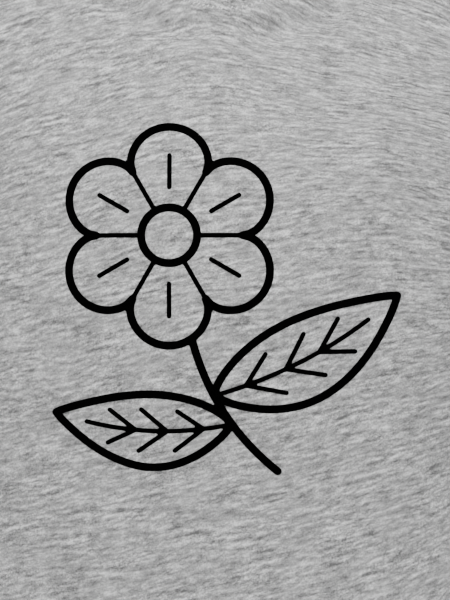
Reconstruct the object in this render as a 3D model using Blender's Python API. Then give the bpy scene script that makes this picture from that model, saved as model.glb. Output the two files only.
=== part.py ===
"""A crew-neck T-shirt of grey marl jersey, filled out as it is worn, with nobody in it.

Metres, +Z up. The front faces -Y. The origin is midway between the two neck points, where the
shoulder seams meet the neckband, so a height on the garment is written as a drop below it.
Each panel is an outer surface, worked out from the sections below, and an inner one a wall inside it.
"""

import math

import bpy
import numpy as np

# Cut of the garment, size L
LENGTH = 0.73  # neck point to hem
NECK_HALF = 0.084  # centre to neck point
NECK_DROP = {"front": 0.088, "back": 0.015}
NECK_ROUNDNESS = 0.58  # 0.5 makes each half of the neckline an ellipse, more makes it leave less steeply
SHOULDER_REACH = 0.222  # centre to the top of the armhole
SHOULDER_DROP = 0.052
ARMPIT_DROP = 0.245
ARMHOLE_SHARE = 0.52  # how far forward the armhole reaches, as a share of the torso's depth there
CUFF_CENTRE = (0.318, 0.0, -0.276)
CUFF_LONG_RADIUS = 0.072
CUFF_SHORT_RADIUS = 0.056
ARM_ANGLE = math.radians(42)  # the sleeve's axis from straight down
UNDERARM_LEAVES = (0.60, -0.80)  # the way the sleeve leaves the armhole, sideways and upwards
SHOULDER_LEAVES = (0.93, -0.37)
SLEEVE_CLOSES = 0.18  # how much its front and back turn towards each other there
BAND_HEIGHT = 0.020
BAND_LEAN = {"front": 0.50, "point": 0.62, "back": 0.30}  # inwards for each unit upwards
BAND_CURL = 0.0015

# Cloth
WALL = 0.0012
BAND_WALL = 0.0020  # the rib is folded double
HEM_WALL = 0.0020  # jersey turned up and stitched
HEM_DEPTH = 0.022
HEM_STEP = 0.0012
SEAM_GAP = 0.0003
ARMHOLE_GAP_WAY = (0.90, 0.55, 0.33)  # from panel to sleeve: sideways, and at its front and underneath

# The torso's sections are superellipses of this power, so that the chest faces squarely forward
SQUARENESS = 2.4
TORSO_COLUMNS = ("drop", "half_width", "front", "back")
TORSO = (
    (0.000, 0.250, 0.118, 0.108),
    (0.060, 0.245, 0.119, 0.112),
    (0.120, 0.222, 0.123, 0.115),
    (0.185, 0.210, 0.130, 0.118),
    (0.245, 0.208, 0.1355, 0.115),
    (0.285, 0.206, 0.138, 0.111),
    (0.325, 0.205, 0.1365, 0.106),
    (0.430, 0.203, 0.1255, 0.102),
    (0.540, 0.206, 0.117, 0.107),
    (0.640, 0.211, 0.118, 0.113),
    (0.730, 0.215, 0.122, 0.116),
)

# How the surface rounds over from the shoulder ridge: near the centre it is a slope, outside a curve
RIDGE_SOFTNESS = 0.03
ROUNDING_REACH = 0.20  # distance from the centre where the side's values hold
ROUNDING_BLEND = 1.5
ROUNDING_COLUMNS = ("centre_power", "centre_height", "side_power", "side_height")
ROUNDING = {
    "front": (1.30, 0.27, 2.0, 0.130),
    "back": (1.60, 0.15, 2.0, 0.115),
}

# Waves that grow towards the bottom hem. The angle, in degrees, goes round the body from the middle
# of the front to the left sleeve.
HEM_WAVE_GROWTH = 1.4  # above 1 they grow late
HEM_WAVE_COLUMNS = ("angle", "half_width", "start_drop", "height")
HEM_WAVES = (
    (-7, 8, 0.50, -0.0075),
    (15, 9, 0.47, 0.0100),
    (37, 8, 0.48, -0.0095),
    (58, 8, 0.42, 0.0105),
    (80, 9, 0.36, -0.0100),
    (103, 8, 0.38, 0.0115),
    (126, 8, 0.38, -0.0120),
    (148, 9, 0.34, 0.0130),
    (171, 8, 0.38, -0.0115),
    (-167, 9, 0.35, 0.0125),
    (-144, 8, 0.37, -0.0125),
    (-120, 9, 0.34, 0.0120),
    (-97, 8, 0.40, -0.0105),
    (-74, 8, 0.37, 0.0105),
    (-52, 8, 0.44, -0.0100),
    (-30, 8, 0.49, 0.0095),
)

# Large folds round the body, on across the side seams, each from one angle and drop to another. bow
# is how far the middle leaves the straight line, and the width runs from start to end.
ROUND_RADIUS = 0.165  # turns an angle into a distance round the body
BODY_FOLD_COLUMNS = ("angle0", "drop0", "angle1", "drop1", "bow", "start_width", "end_width", "height")
BODY_FOLDS = (
    (66, 0.236, 118, 0.330, 0.012, 0.013, 0.022, -0.0075),
    (70, 0.272, 140, 0.405, 0.016, 0.014, 0.024, 0.0090),
    (66, 0.330, 112, 0.425, 0.010, 0.015, 0.020, -0.0070),
    (58, 0.548, 132, 0.455, -0.012, 0.017, 0.022, -0.0064),
    (42, 0.615, 122, 0.520, -0.010, 0.019, 0.022, 0.0068),
    (28, 0.640, 84, 0.600, -0.006, 0.016, 0.018, -0.0065),
    (100, 0.300, 162, 0.235, -0.010, 0.016, 0.022, -0.0065),
    (108, 0.365, 172, 0.480, 0.010, 0.016, 0.022, -0.0078),
    (124, 0.500, 176, 0.452, -0.010, 0.017, 0.022, 0.0075),
    (116, 0.570, 166, 0.545, -0.008, 0.016, 0.020, -0.0070),
    (-68, 0.246, -122, 0.345, -0.012, 0.013, 0.022, -0.0078),
    (-71, 0.288, -142, 0.425, -0.016, 0.014, 0.024, 0.0088),
    (-67, 0.352, -110, 0.450, -0.010, 0.015, 0.020, -0.0070),
    (-60, 0.560, -128, 0.480, 0.012, 0.017, 0.022, -0.0066),
    (-45, 0.630, -120, 0.548, 0.010, 0.019, 0.022, 0.0068),
    (-22, 0.655, -76, 0.622, 0.006, 0.016, 0.018, -0.0062),
    (-98, 0.318, -160, 0.250, 0.010, 0.016, 0.022, -0.0062),
    (-112, 0.390, -174, 0.500, -0.010, 0.016, 0.022, -0.0076),
    (-126, 0.525, -178, 0.470, 0.010, 0.017, 0.022, 0.0072),
    (-118, 0.596, -164, 0.560, 0.008, 0.016, 0.020, -0.0068),
    (180, 0.120, 177, 0.400, 0.004, 0.024, 0.030, -0.0060),
)

# Large folds of the sleeves. u is the distance round from the top line, positive in front, and v the
# distance down from the armhole, with bow and width as above.
FOLD_COLUMNS = ("piece", "u0", "v0", "u1", "v1", "bow", "start_width", "end_width", "height")
FOLDS = (
    ("sleeve_left", 0.196, 0.012, 0.050, 0.080, 0.012, 0.012, 0.018, -0.0078),
    ("sleeve_left", 0.196, 0.064, 0.060, 0.150, 0.012, 0.012, 0.018, 0.0076),
    ("sleeve_left", -0.196, 0.014, -0.045, 0.086, -0.012, 0.012, 0.018, -0.0076),
    ("sleeve_left", -0.194, 0.070, -0.068, 0.160, -0.012, 0.012, 0.018, 0.0072),
    ("sleeve_left", 0.022, 0.030, 0.044, 0.250, 0.006, 0.016, 0.020, 0.0052),
    ("sleeve_left", -0.044, 0.100, -0.020, 0.260, 0.004, 0.015, 0.019, -0.0054),
    ("sleeve_left", 0.104, 0.130, 0.090, 0.260, 0.004, 0.014, 0.017, -0.0052),
    ("sleeve_right", 0.196, 0.016, 0.056, 0.090, 0.012, 0.012, 0.018, -0.0078),
    ("sleeve_right", 0.194, 0.074, 0.070, 0.160, 0.012, 0.012, 0.018, 0.0072),
    ("sleeve_right", -0.196, 0.012, -0.050, 0.074, -0.012, 0.012, 0.018, -0.0076),
    ("sleeve_right", -0.196, 0.060, -0.058, 0.145, -0.012, 0.012, 0.018, 0.0076),
    ("sleeve_right", -0.018, 0.030, -0.040, 0.250, -0.006, 0.016, 0.020, 0.0052),
    ("sleeve_right", 0.048, 0.110, 0.028, 0.260, -0.004, 0.015, 0.019, -0.0054),
    ("sleeve_right", -0.100, 0.120, -0.088, 0.260, -0.004, 0.014, 0.017, -0.0052),
)
SLEEVE_AROUND = 0.42  # its girth at mid length, which turns an angle into the folds' u
SLEEVE_LENGTH = 0.20  # along its middle, which turns a share of it into the folds' v
ARMHOLE_FADE = 0.12  # share of a sleeve in which its folds die out towards the armhole
UNDERARM_FADE = 0.020  # distance in which they die out towards its underarm line

# Mesh density
NECK_COLUMNS = 10  # in a quarter of the neckline
NECK_CROWDING = 1.4  # above 1 they lie closer together towards the neck point
SHOULDER_COLUMNS = 11
BODY_ROWS = 16
ARMHOLE_ROWS = 13  # in half of an armhole
SLEEVE_ROWS = 11
BAND_ROWS = 4

# Colours, linear
MARL = (0.40, 0.40, 0.40, 1.0)
RIB = (0.36, 0.36, 0.36, 1.0)
CLOTH_ROUGHNESS = 0.9

STEP = 1e-3  # the small change in a surface's own coordinates from which its normal is measured
ROUND_OFF = 1e-6
LEAST_TURN = 0.01  # keeps the sine that the columns are spaced by from vanishing
EDGE_POWER = 4  # how closely a panel's columns keep to its middle before they follow its side edge


def mix(a, b, share):
    return a + (b - a) * share


def between(x, knots, values):
    """A smooth curve through (knots, values): cubic pieces whose slopes come from their neighbours."""
    knots, values = np.asarray(knots, float), np.asarray(values, float)
    slopes = np.gradient(values, knots)
    x = np.clip(x, knots[0], knots[-1])
    i = np.clip(np.searchsorted(knots, x) - 1, 0, len(knots) - 2)
    width = knots[i + 1] - knots[i]
    t = (x - knots[i]) / width
    start = (1 + 2 * t) * (1 - t) ** 2 * values[i] + t * (1 - t) ** 2 * width * slopes[i]
    end = t * t * (3 - 2 * t) * values[i + 1] - t * t * (1 - t) * width * slopes[i + 1]
    return start + end


def torso_column(name, drop):
    table = np.array(TORSO)
    return between(drop, table[:, 0], table[:, TORSO_COLUMNS.index(name)])


def soft_distance(x):
    return np.sqrt(x * x + RIDGE_SOFTNESS**2)


def ridge_drop(x):
    """Drop of the shoulder's ridge at x, which is the shoulder seam outside the neck point."""
    run = soft_distance(x) - soft_distance(NECK_HALF)
    return SHOULDER_DROP * run / (soft_distance(SHOULDER_REACH) - soft_distance(NECK_HALF))


def rounding(side, x, height):
    """Share of the full depth that the surface has reached at that height below the ridge."""
    centre_power, centre_height, side_power, side_height = ROUNDING[side]
    out = np.clip(np.abs(x) / ROUNDING_REACH, 0, 1) ** ROUNDING_BLEND
    power = mix(centre_power, side_power, out)
    share = np.clip(height / mix(centre_height, side_height, out), 0, 1)
    return (1 - (1 - share) ** power) ** (1 / power)


def surface_depth(side, x, drop):
    """How far the surface stands in front of, or behind, the plane through both side seams."""
    share = np.clip(np.abs(x) / torso_column("half_width", drop), 0, 1)
    section = (1 - share**SQUARENESS) ** (1 / SQUARENESS)
    return torso_column(side, drop) * section * rounding(side, x, drop - ridge_drop(x))


def armhole_edge(arc, drop):
    """Distance of the armhole from the centre, and the angle of the torso's section that it takes in.

    Its lower half follows the section forward from the side seam, as deep as ARMHOLE_SHARE. Its
    upper half swings out again to the shoulder.
    """
    forward = ARMHOLE_SHARE * np.sin(np.minimum(arc, math.pi / 2))
    share = (1 - forward**SQUARENESS) ** (1 / SQUARENESS)
    above = np.sin(np.maximum(arc, math.pi / 2)) ** 2
    reach = mix(SHOULDER_REACH, torso_column("half_width", drop) * share, above)
    return reach, np.arcsin(share) * np.maximum(above, LEAST_TURN)


def top_drop(side, x):
    """Drop of the panel's top edge: the neckline near the centre and the shoulder seam outside it."""
    neck = NECK_DROP[side] * np.clip(1 - (x / NECK_HALF) ** 2, 0, 1) ** NECK_ROUNDNESS
    return np.where(np.abs(x) < NECK_HALF, neck, ridge_drop(x))


def turn_from(angle, start):
    """The shorter turn from a start to an angle."""
    return np.mod(angle - start + math.pi, 2 * math.pi) - math.pi


def fold_share(u, v, reach_u, reach_v, bow, start_width, end_width):
    """Share of a fold's height at (u, v) from its start, where its end lies (reach_u, reach_v) away."""
    run = math.hypot(reach_u, reach_v)
    along = (u * reach_u + v * reach_v) / run**2
    inside = np.clip(4 * along * (1 - along), 0, 1)
    off = (u * reach_v - v * reach_u) / run - bow * inside
    width = mix(start_width, end_width, np.clip(along, 0, 1))
    return inside * np.exp(-((off / width) ** 2))


def drape(points):
    """Moves points of the torso in or out, level, by the hem's waves and the body's large folds."""
    angle = np.arctan2(points[..., 0], -points[..., 1])
    drop = -points[..., 2]
    height = np.zeros_like(drop)
    for degrees, half_width, start_drop, most in HEM_WAVES:
        off = turn_from(angle, math.radians(degrees))
        grown = np.clip((drop - start_drop) / (LENGTH - start_drop), 0, 1) ** HEM_WAVE_GROWTH
        height += most * grown * np.exp(-((off / math.radians(half_width)) ** 2))
    for angle0, drop0, angle1, drop1, bow, start_width, end_width, most in BODY_FOLDS:
        reach = ROUND_RADIUS * math.radians(angle1 - angle0)
        u = ROUND_RADIUS * turn_from(angle, math.radians(angle0 + angle1) / 2) + reach / 2
        height += most * fold_share(u, drop - drop0, reach, drop1 - drop0, bow, start_width, end_width)
    outwards = np.stack([np.sin(angle), -np.cos(angle), np.zeros_like(angle)], axis=-1)
    return points + outwards * height[..., None]


def torso(side, across, up):
    """Points of the front or back panel, with the body's large folds.

    across runs from -1 to 1 between its side edges. up runs from 0 at the hem, past 1 at the
    armpit, to 2 at the shoulder seam and neckline.
    """
    across, up = np.broadcast_arrays(np.asarray(across, float), np.asarray(up, float))
    arc = np.clip(up - 1, 0, 1) * math.pi
    edge_climb = (1 - np.cos(arc)) / 2
    climb = mix(np.sin(arc / 2), edge_climb, across**EDGE_POWER)
    low_drop = mix(LENGTH, ARMPIT_DROP, np.clip(up, 0, 1))
    reach, turn = armhole_edge(arc, mix(low_drop, SHOULDER_DROP, edge_climb))
    top_x = SHOULDER_REACH * across
    low_x = reach * np.sin(across * turn) / np.sin(turn)
    x = mix(low_x, top_x, climb * (1 - across**EDGE_POWER))
    drop = mix(low_drop, top_drop(side, top_x), climb)
    y = surface_depth(side, x, drop) + SEAM_GAP / 2
    return drape(np.stack([x, -y if side == "front" else y, -drop], axis=-1))


def arm_directions(hand):
    """The sleeve's own directions: along it to the cuff, and across it from the body's side outwards."""
    along = np.array([hand * math.sin(ARM_ANGLE), 0, -math.cos(ARM_ANGLE)])
    outwards = np.array([hand * math.cos(ARM_ANGLE), 0, math.sin(ARM_ANGLE)])
    return along, outwards


def armhole(hand, arc):
    """Points of the armhole, arc from 0 at the armpit over the front to the shoulder and down the back."""
    arc = np.mod(arc, 2 * math.pi)
    front = torso("front", float(hand), 1 + np.minimum(arc, math.pi) / math.pi)
    back = torso("back", float(hand), 1 + np.minimum(2 * math.pi - arc, math.pi) / math.pi)
    points = np.where((arc <= math.pi)[..., None], front, back)
    points[..., 1] -= np.where(arc <= math.pi, -1, 1) * SEAM_GAP / 2
    return points


def sleeve(hand, arc, along):
    """Points of a sleeve, without folds: arc as in armhole, along from 0 at the armhole to 1 at the cuff."""
    arc, along = np.broadcast_arrays(np.asarray(arc, float), np.asarray(along, float))
    down, outwards = arm_directions(hand)
    start = armhole(hand, arc)
    centre = np.array(CUFF_CENTRE) * (hand, 1, 1)
    round_cuff = CUFF_LONG_RADIUS * np.cos(arc)[..., None] * outwards
    end = centre - round_cuff - CUFF_SHORT_RADIUS * np.sin(arc)[..., None] * np.array([0, 1, 0])
    top = (1 - np.cos(arc)) / 2
    sideways = hand * mix(UNDERARM_LEAVES[0], SHOULDER_LEAVES[0], top)
    upwards = mix(UNDERARM_LEAVES[1], SHOULDER_LEAVES[1], top)
    leaves = unit(np.stack([sideways, SLEEVE_CLOSES * np.sin(arc), upwards], axis=-1))
    gap_way = np.stack([hand * np.ones_like(arc), np.sin(arc), np.cos(arc)], axis=-1) * ARMHOLE_GAP_WAY
    start = start + SEAM_GAP * unit(gap_way)
    span = np.linalg.norm(end - start, axis=-1, keepdims=True)
    t = along[..., None]
    return (
        (1 + 2 * t) * (1 - t) ** 2 * start
        + t * (1 - t) ** 2 * span * leaves
        + t * t * (3 - 2 * t) * end
        - t * t * (1 - t) * span * down
    )


def neckline(angle):
    """Points of the neckline, angle from 0 at the front's centre over the left neck point to the back."""
    in_front = np.cos(angle) > -ROUND_OFF
    across = NECK_HALF * np.sin(angle) / SHOULDER_REACH
    front, back = torso("front", across, 2.0), torso("back", across, 2.0)
    points = np.where(in_front[..., None], front, back)
    points[..., 1] -= np.where(in_front, -1, 1) * SEAM_GAP / 2
    return points


def band(angle, up):
    """Points of the neckband, up from 0 at the neckline to 1 at its free edge."""
    angle, up = np.broadcast_arrays(np.asarray(angle, float), np.asarray(up, float))
    base = neckline(angle)
    inwards = -np.stack([np.sin(angle), -np.cos(angle), np.zeros_like(angle)], axis=-1)
    front, back = np.clip(np.cos(angle), 0, 1), np.clip(-np.cos(angle), 0, 1)
    lean = BAND_LEAN["point"] + (BAND_LEAN["front"] - BAND_LEAN["point"]) * front**2
    lean += (BAND_LEAN["back"] - BAND_LEAN["point"]) * back**2
    rise = unit(inwards * lean[..., None] + np.array([0, 0, 1.0]))
    straight = SEAM_GAP + up * BAND_HEIGHT
    curl = BAND_CURL * np.sin(up * math.pi)
    return base + rise * straight[..., None] - inwards * curl[..., None]


def unit(vectors):
    return vectors / np.linalg.norm(vectors, axis=-1, keepdims=True)


def normals(surface, a, b, flip):
    """Unit normals of surface(a, b), from points a small step away along each of its coordinates."""
    along_a = surface(a + STEP, b) - surface(a - STEP, b)
    along_b = surface(a, b + STEP) - surface(a, b - STEP)
    return unit(np.cross(along_a, along_b)) * flip


def panel_normals(side, across, up):
    inner_across, inner_up = np.clip(across, -1 + STEP, 1 - STEP), np.clip(up, STEP, 2 - STEP)
    return normals(lambda a, b: torso(side, a, b), inner_across, inner_up, 1 if side == "front" else -1)


def sleeve_normals(hand, arc, along):
    return normals(lambda a, b: sleeve(hand, a, b), arc, np.clip(along, STEP, 1 - STEP), -hand)


def band_normals(angle, up):
    return normals(band, angle, np.clip(up, STEP, 1 - STEP), 1)


def ridge_normal(x):
    """Normal of the shoulder seam at x, in the plane between front and back."""
    slope = (ridge_drop(x + STEP) - ridge_drop(x - STEP)) / (2 * STEP)
    return unit(np.stack([slope, np.zeros_like(slope), np.ones_like(slope)], axis=-1))


def seam_direction(first, second, at_point):
    """The way from the inner to the outer edge of a seam: midway between the normals of both pieces.

    Both pieces use it, so their end faces are parallel. Where front and back meet another piece
    at one point, it stays in the plane between front and back.
    """
    middle = first + second
    middle[..., 1] = np.where(at_point, 0, middle[..., 1])
    return unit(middle)


def armhole_direction(hand, arc):
    arc = np.mod(arc, 2 * math.pi)
    up = 1 + np.minimum(arc, 2 * math.pi - arc) / math.pi
    front, back = panel_normals("front", float(hand), up), panel_normals("back", float(hand), up)
    panel_side = np.where((arc < math.pi)[..., None], front, back)
    at_top = np.abs(arc - math.pi) < ROUND_OFF
    panel_side = np.where(at_top[..., None], ridge_normal(np.full_like(arc, hand * SHOULDER_REACH)), panel_side)
    return seam_direction(panel_side, sleeve_normals(hand, arc, 0.0), np.abs(np.sin(arc)) < ROUND_OFF)


def neckline_direction(angle):
    at_point = np.abs(np.cos(angle)) < ROUND_OFF
    x = NECK_HALF * np.sin(angle)
    front = panel_normals("front", x / SHOULDER_REACH, 2.0)
    back = panel_normals("back", x / SHOULDER_REACH, 2.0)
    panel_side = np.where((np.cos(angle) > 0)[..., None], front, back)
    panel_side = np.where(at_point[..., None], ridge_normal(x), panel_side)
    return seam_direction(panel_side, band_normals(angle, 0.0), at_point)


def panel_directions(side, across, up):
    """The panel's normals, and at its seams the directions that it shares with the next piece."""
    outwards = panel_normals(side, across, up)
    x = SHOULDER_REACH * across[-1]
    at_neck = np.abs(x) < NECK_HALF + ROUND_OFF
    angle = np.arcsin(np.clip(x[at_neck] / NECK_HALF, -1, 1))
    outwards[-1] = ridge_normal(x)
    outwards[-1, at_neck] = neckline_direction(angle if side == "front" else math.pi - angle)
    at_armhole = up[:, 0] > 1 - ROUND_OFF
    arc = (up[at_armhole, 0] - 1) * math.pi * (1 if side == "front" else -1)
    outwards[at_armhole, 0] = armhole_direction(-1, arc)
    outwards[at_armhole, -1] = armhole_direction(1, arc)
    return outwards


def fold_height(piece, u, v):
    """How far the folds of a piece raise it at (u, v)."""
    height = np.zeros_like(u)
    for name, u0, v0, u1, v1, bow, start_width, end_width, most in FOLDS:
        if name == piece:
            height += most * fold_share(u - u0, v - v0, u1 - u0, v1 - v0, bow, start_width, end_width)
    return height


def sleeve_fade(from_top, along):
    """Folds die out at the armhole, so that both sides of the seam meet, and along the underarm."""
    at_underarm = np.clip((SLEEVE_AROUND / 2 - np.abs(from_top)) / UNDERARM_FADE, 0, 1)
    return np.clip(along / ARMHOLE_FADE, 0, 1) * at_underarm


def new_object(name, points, faces, colour):
    mesh = bpy.data.meshes.new(name)
    mesh.from_pydata([tuple(p) for p in points], [], faces)
    mesh.validate()
    mesh.shade_smooth()
    mesh.set_sharp_from_angle(angle=math.radians(45))
    cloth = bpy.data.materials.new(name)
    cloth.use_nodes = True
    shader = cloth.node_tree.nodes["Principled BSDF"]
    shader.inputs["Base Color"].default_value = colour
    shader.inputs["Roughness"].default_value = CLOTH_ROUGHNESS
    mesh.materials.append(cloth)
    built = bpy.data.objects.new(name, mesh)
    bpy.context.scene.collection.objects.link(built)
    return built


def wall(name, outer, inner, colour, is_tube=False):
    """A closed wall between two grids of points, rows by columns. A tube's last column meets its first."""
    rows, columns = outer.shape[:2]
    points = np.concatenate([outer.reshape(-1, 3), inner.reshape(-1, 3)])
    inside = rows * columns
    faces = []

    def index(row, column):
        return row * columns + column % columns

    def add_edge(a, b):
        # Both pieces at a seam split each end face from its higher outer corner, so they stay parallel.
        if points[a][2] > points[b][2]:
            faces.append((a, b, b + inside))
            faces.append((a, b + inside, a + inside))
        else:
            faces.append((a, b, a + inside))
            faces.append((b, b + inside, a + inside))

    steps = columns if is_tube else columns - 1
    for row in range(rows - 1):
        for column in range(steps):
            a, b = index(row, column), index(row, column + 1)
            d, c = index(row + 1, column), index(row + 1, column + 1)
            faces.append((a, b, c, d))
            faces.append((d + inside, c + inside, b + inside, a + inside))
    for column in range(steps):
        add_edge(index(0, column + 1), index(0, column))
        add_edge(index(rows - 1, column), index(rows - 1, column + 1))
    if not is_tube:
        for row in range(rows - 1):
            add_edge(index(row, 0), index(row + 1, 0))
            add_edge(index(row + 1, columns - 1), index(row, columns - 1))
    return new_object(name, points, faces, colour)


def quarter_angles():
    """Angles round a quarter of the neckline, closer together towards the neck point."""
    left = np.linspace(1, 0, NECK_COLUMNS + 1)
    return math.pi / 2 * (1 - left**NECK_CROWDING)


def panel_columns():
    """Places across a panel: round the neckline, then even along the shoulder, on both sides."""
    at_neck = NECK_HALF * np.sin(quarter_angles()) / SHOULDER_REACH
    at_shoulder = np.linspace(at_neck[-1], 1, SHOULDER_COLUMNS + 1)[1:]
    half = np.concatenate([at_neck, at_shoulder])
    return np.concatenate([-half[:0:-1], half])


def panel_rows():
    """Heights up a panel: the hem's own rows, then even to the armpit, then even round the armhole."""
    hem = np.array([0, HEM_DEPTH / 2, HEM_DEPTH, HEM_DEPTH + HEM_STEP]) / (LENGTH - ARMPIT_DROP)
    lower = np.linspace(hem[-1], 1, BODY_ROWS)[1:]
    upper = 1 + np.linspace(0, 1, ARMHOLE_ROWS + 1)[1:]
    return np.concatenate([hem, lower, upper])


def panel(side):
    across, up = np.meshgrid(panel_columns(), panel_rows())
    outer = torso(side, across, up)
    outwards = panel_directions(side, across, up)
    in_hem = up < (HEM_DEPTH + HEM_STEP / 2) / (LENGTH - ARMPIT_DROP)
    inner = outer - outwards * np.where(in_hem, HEM_WALL, WALL)[..., None]
    if side == "back":
        outer, inner = outer[:, ::-1], inner[:, ::-1]
    return wall(side, outer, inner, MARL)


def sleeve_tube(name, hand):
    arcs = np.arange(2 * ARMHOLE_ROWS) * math.pi / ARMHOLE_ROWS
    hem = 1 - np.array([HEM_DEPTH + HEM_STEP, HEM_DEPTH, HEM_DEPTH / 2, 0]) / SLEEVE_LENGTH
    rows = np.concatenate([np.linspace(0, hem[0], SLEEVE_ROWS)[:-1], hem])
    arc, along = np.meshgrid(arcs, rows)
    outwards = sleeve_normals(hand, arc, along)
    outwards[0] = armhole_direction(hand, arcs)
    from_top = (math.pi - arc) / (2 * math.pi) * SLEEVE_AROUND
    raised = fold_height(name, from_top, along * SLEEVE_LENGTH) * sleeve_fade(from_top, along)
    outer = sleeve(hand, arc, along) + outwards * raised[..., None]
    in_hem = along > hem[0] + ROUND_OFF
    inner = outer - outwards * np.where(in_hem, HEM_WALL, WALL)[..., None]
    if hand > 0:
        outer, inner = outer[:, ::-1], inner[:, ::-1]
    return wall(name, outer, inner, MARL, is_tube=True)


def neckband():
    half = np.concatenate([quarter_angles()[:-1], math.pi - quarter_angles()[::-1]])
    angles = np.concatenate([half, 2 * math.pi - half[-2:0:-1]])
    # Its seam edge is as thin as the jersey it is sewn to, and HEM_STEP above that it is full.
    rows = np.concatenate([[0], np.linspace(HEM_STEP / BAND_HEIGHT, 1, BAND_ROWS)])
    angle, up = np.meshgrid(angles, rows)
    outwards = band_normals(angle, up)
    outwards[0] = neckline_direction(angles)
    outer = band(angle, up)
    inner = outer - outwards * np.where(up > 0, BAND_WALL, WALL)[..., None]
    return wall("neckband", outer, inner, RIB, is_tube=True)


def main():
    for old in list(bpy.data.objects):
        bpy.data.objects.remove(old)
    panel("front")
    panel("back")
    sleeve_tube("sleeve_left", 1)
    sleeve_tube("sleeve_right", -1)
    neckband()


main()
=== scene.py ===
"""Looks of a crew-neck T-shirt of grey marl jersey, filled out as it is worn, with nobody in it.

Metres, +Z up. The front faces -Y. The origin is midway between the two neck points, so a height on
the garment is written as a drop below it. Each panel is a thin closed shell of fine faces on the same
surface as its solid, with smaller creases added. Stitches and the print lie on those shells.
"""

import math

import bpy
import numpy as np
from mathutils import Matrix, Vector
from mathutils.bvhtree import BVHTree

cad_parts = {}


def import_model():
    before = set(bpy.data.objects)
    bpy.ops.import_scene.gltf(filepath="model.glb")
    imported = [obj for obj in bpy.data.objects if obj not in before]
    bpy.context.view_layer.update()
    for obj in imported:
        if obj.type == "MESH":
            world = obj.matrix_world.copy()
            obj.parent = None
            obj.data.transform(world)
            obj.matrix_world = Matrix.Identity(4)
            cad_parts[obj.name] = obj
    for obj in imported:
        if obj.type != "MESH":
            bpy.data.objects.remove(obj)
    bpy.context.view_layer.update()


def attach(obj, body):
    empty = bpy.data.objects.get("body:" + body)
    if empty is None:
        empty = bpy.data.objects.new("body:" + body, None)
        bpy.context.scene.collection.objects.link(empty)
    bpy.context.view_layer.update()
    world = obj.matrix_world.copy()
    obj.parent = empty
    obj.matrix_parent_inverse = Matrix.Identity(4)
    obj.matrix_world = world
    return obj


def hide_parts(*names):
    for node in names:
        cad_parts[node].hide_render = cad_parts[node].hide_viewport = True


# Cut of the garment, size L
LENGTH = 0.73  # neck point to hem
NECK_HALF = 0.084  # centre to neck point
NECK_DROP = {"front": 0.088, "back": 0.015}
NECK_ROUNDNESS = 0.58
SHOULDER_REACH = 0.222  # centre to the top of the armhole
SHOULDER_DROP = 0.052
ARMPIT_DROP = 0.245
ARMHOLE_SHARE = 0.52  # how far forward the armhole reaches, as a share of the torso's depth there
CUFF_CENTRE = (0.318, 0.0, -0.276)
CUFF_LONG_RADIUS = 0.072
CUFF_SHORT_RADIUS = 0.056
ARM_ANGLE = math.radians(42)  # the sleeve's axis from straight down
UNDERARM_LEAVES = (0.60, -0.80)  # the way the sleeve leaves the armhole, sideways and upwards
SHOULDER_LEAVES = (0.93, -0.37)
SLEEVE_CLOSES = 0.18
BAND_HEIGHT = 0.020
BAND_LEAN = {"front": 0.50, "point": 0.62, "back": 0.30}  # inwards for each unit upwards
BAND_CURL = 0.0015
ALLOWANCE = 0.0045  # width of the neck seam's allowance inside
ALLOWANCE_DEPTHS = (0.0030, 0.0020)  # of its two faces, below the panels' outer face
NECK_POINT_BLEND = 0.3  # range of the angle's cosine in which front and back share their directions

# Cloth
WALL = 0.0012
BAND_WALL = 0.0020  # the rib is folded double
HEM_WALL = 0.0020  # jersey turned up and stitched
HEM_DEPTH = 0.022
HEM_STEP = 0.0012
SEAM_GAP = 0.0003
ARMHOLE_GAP_WAY = (0.90, 0.55, 0.33)

# The torso's sections are superellipses of this power, so that the chest faces squarely forward
SQUARENESS = 2.4
TORSO_COLUMNS = ("drop", "half_width", "front", "back")
TORSO = (
    (0.000, 0.250, 0.118, 0.108),
    (0.060, 0.245, 0.119, 0.112),
    (0.120, 0.222, 0.123, 0.115),
    (0.185, 0.210, 0.130, 0.118),
    (0.245, 0.208, 0.1355, 0.115),
    (0.285, 0.206, 0.138, 0.111),
    (0.325, 0.205, 0.1365, 0.106),
    (0.430, 0.203, 0.1255, 0.102),
    (0.540, 0.206, 0.117, 0.107),
    (0.640, 0.211, 0.118, 0.113),
    (0.730, 0.215, 0.122, 0.116),
)

# How the surface rounds over from the shoulder ridge
RIDGE_SOFTNESS = 0.03
ROUNDING_REACH = 0.20
ROUNDING_BLEND = 1.5
# Columns: power and height at the centre, power and height at the side
ROUNDING = {
    "front": (1.30, 0.27, 2.0, 0.130),
    "back": (1.60, 0.15, 2.0, 0.115),
}

# Waves that grow towards the bottom hem. The angle, in degrees, goes round the body from the middle
# of the front to the left sleeve.
HEM_WAVE_GROWTH = 1.4  # above 1 they grow late
# Columns: angle, half width, start drop, height
HEM_WAVES = (
    (-7, 8, 0.50, -0.0075),
    (15, 9, 0.47, 0.0100),
    (37, 8, 0.48, -0.0095),
    (58, 8, 0.42, 0.0105),
    (80, 9, 0.36, -0.0100),
    (103, 8, 0.38, 0.0115),
    (126, 8, 0.38, -0.0120),
    (148, 9, 0.34, 0.0130),
    (171, 8, 0.38, -0.0115),
    (-167, 9, 0.35, 0.0125),
    (-144, 8, 0.37, -0.0125),
    (-120, 9, 0.34, 0.0120),
    (-97, 8, 0.40, -0.0105),
    (-74, 8, 0.37, 0.0105),
    (-52, 8, 0.44, -0.0100),
    (-30, 8, 0.49, 0.0095),
)

# Large folds round the body, on across the side seams, each from one angle and drop to another. bow
# is how far the middle leaves the straight line, and the width runs from start to end.
ROUND_RADIUS = 0.165  # turns an angle into a distance round the body
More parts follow.
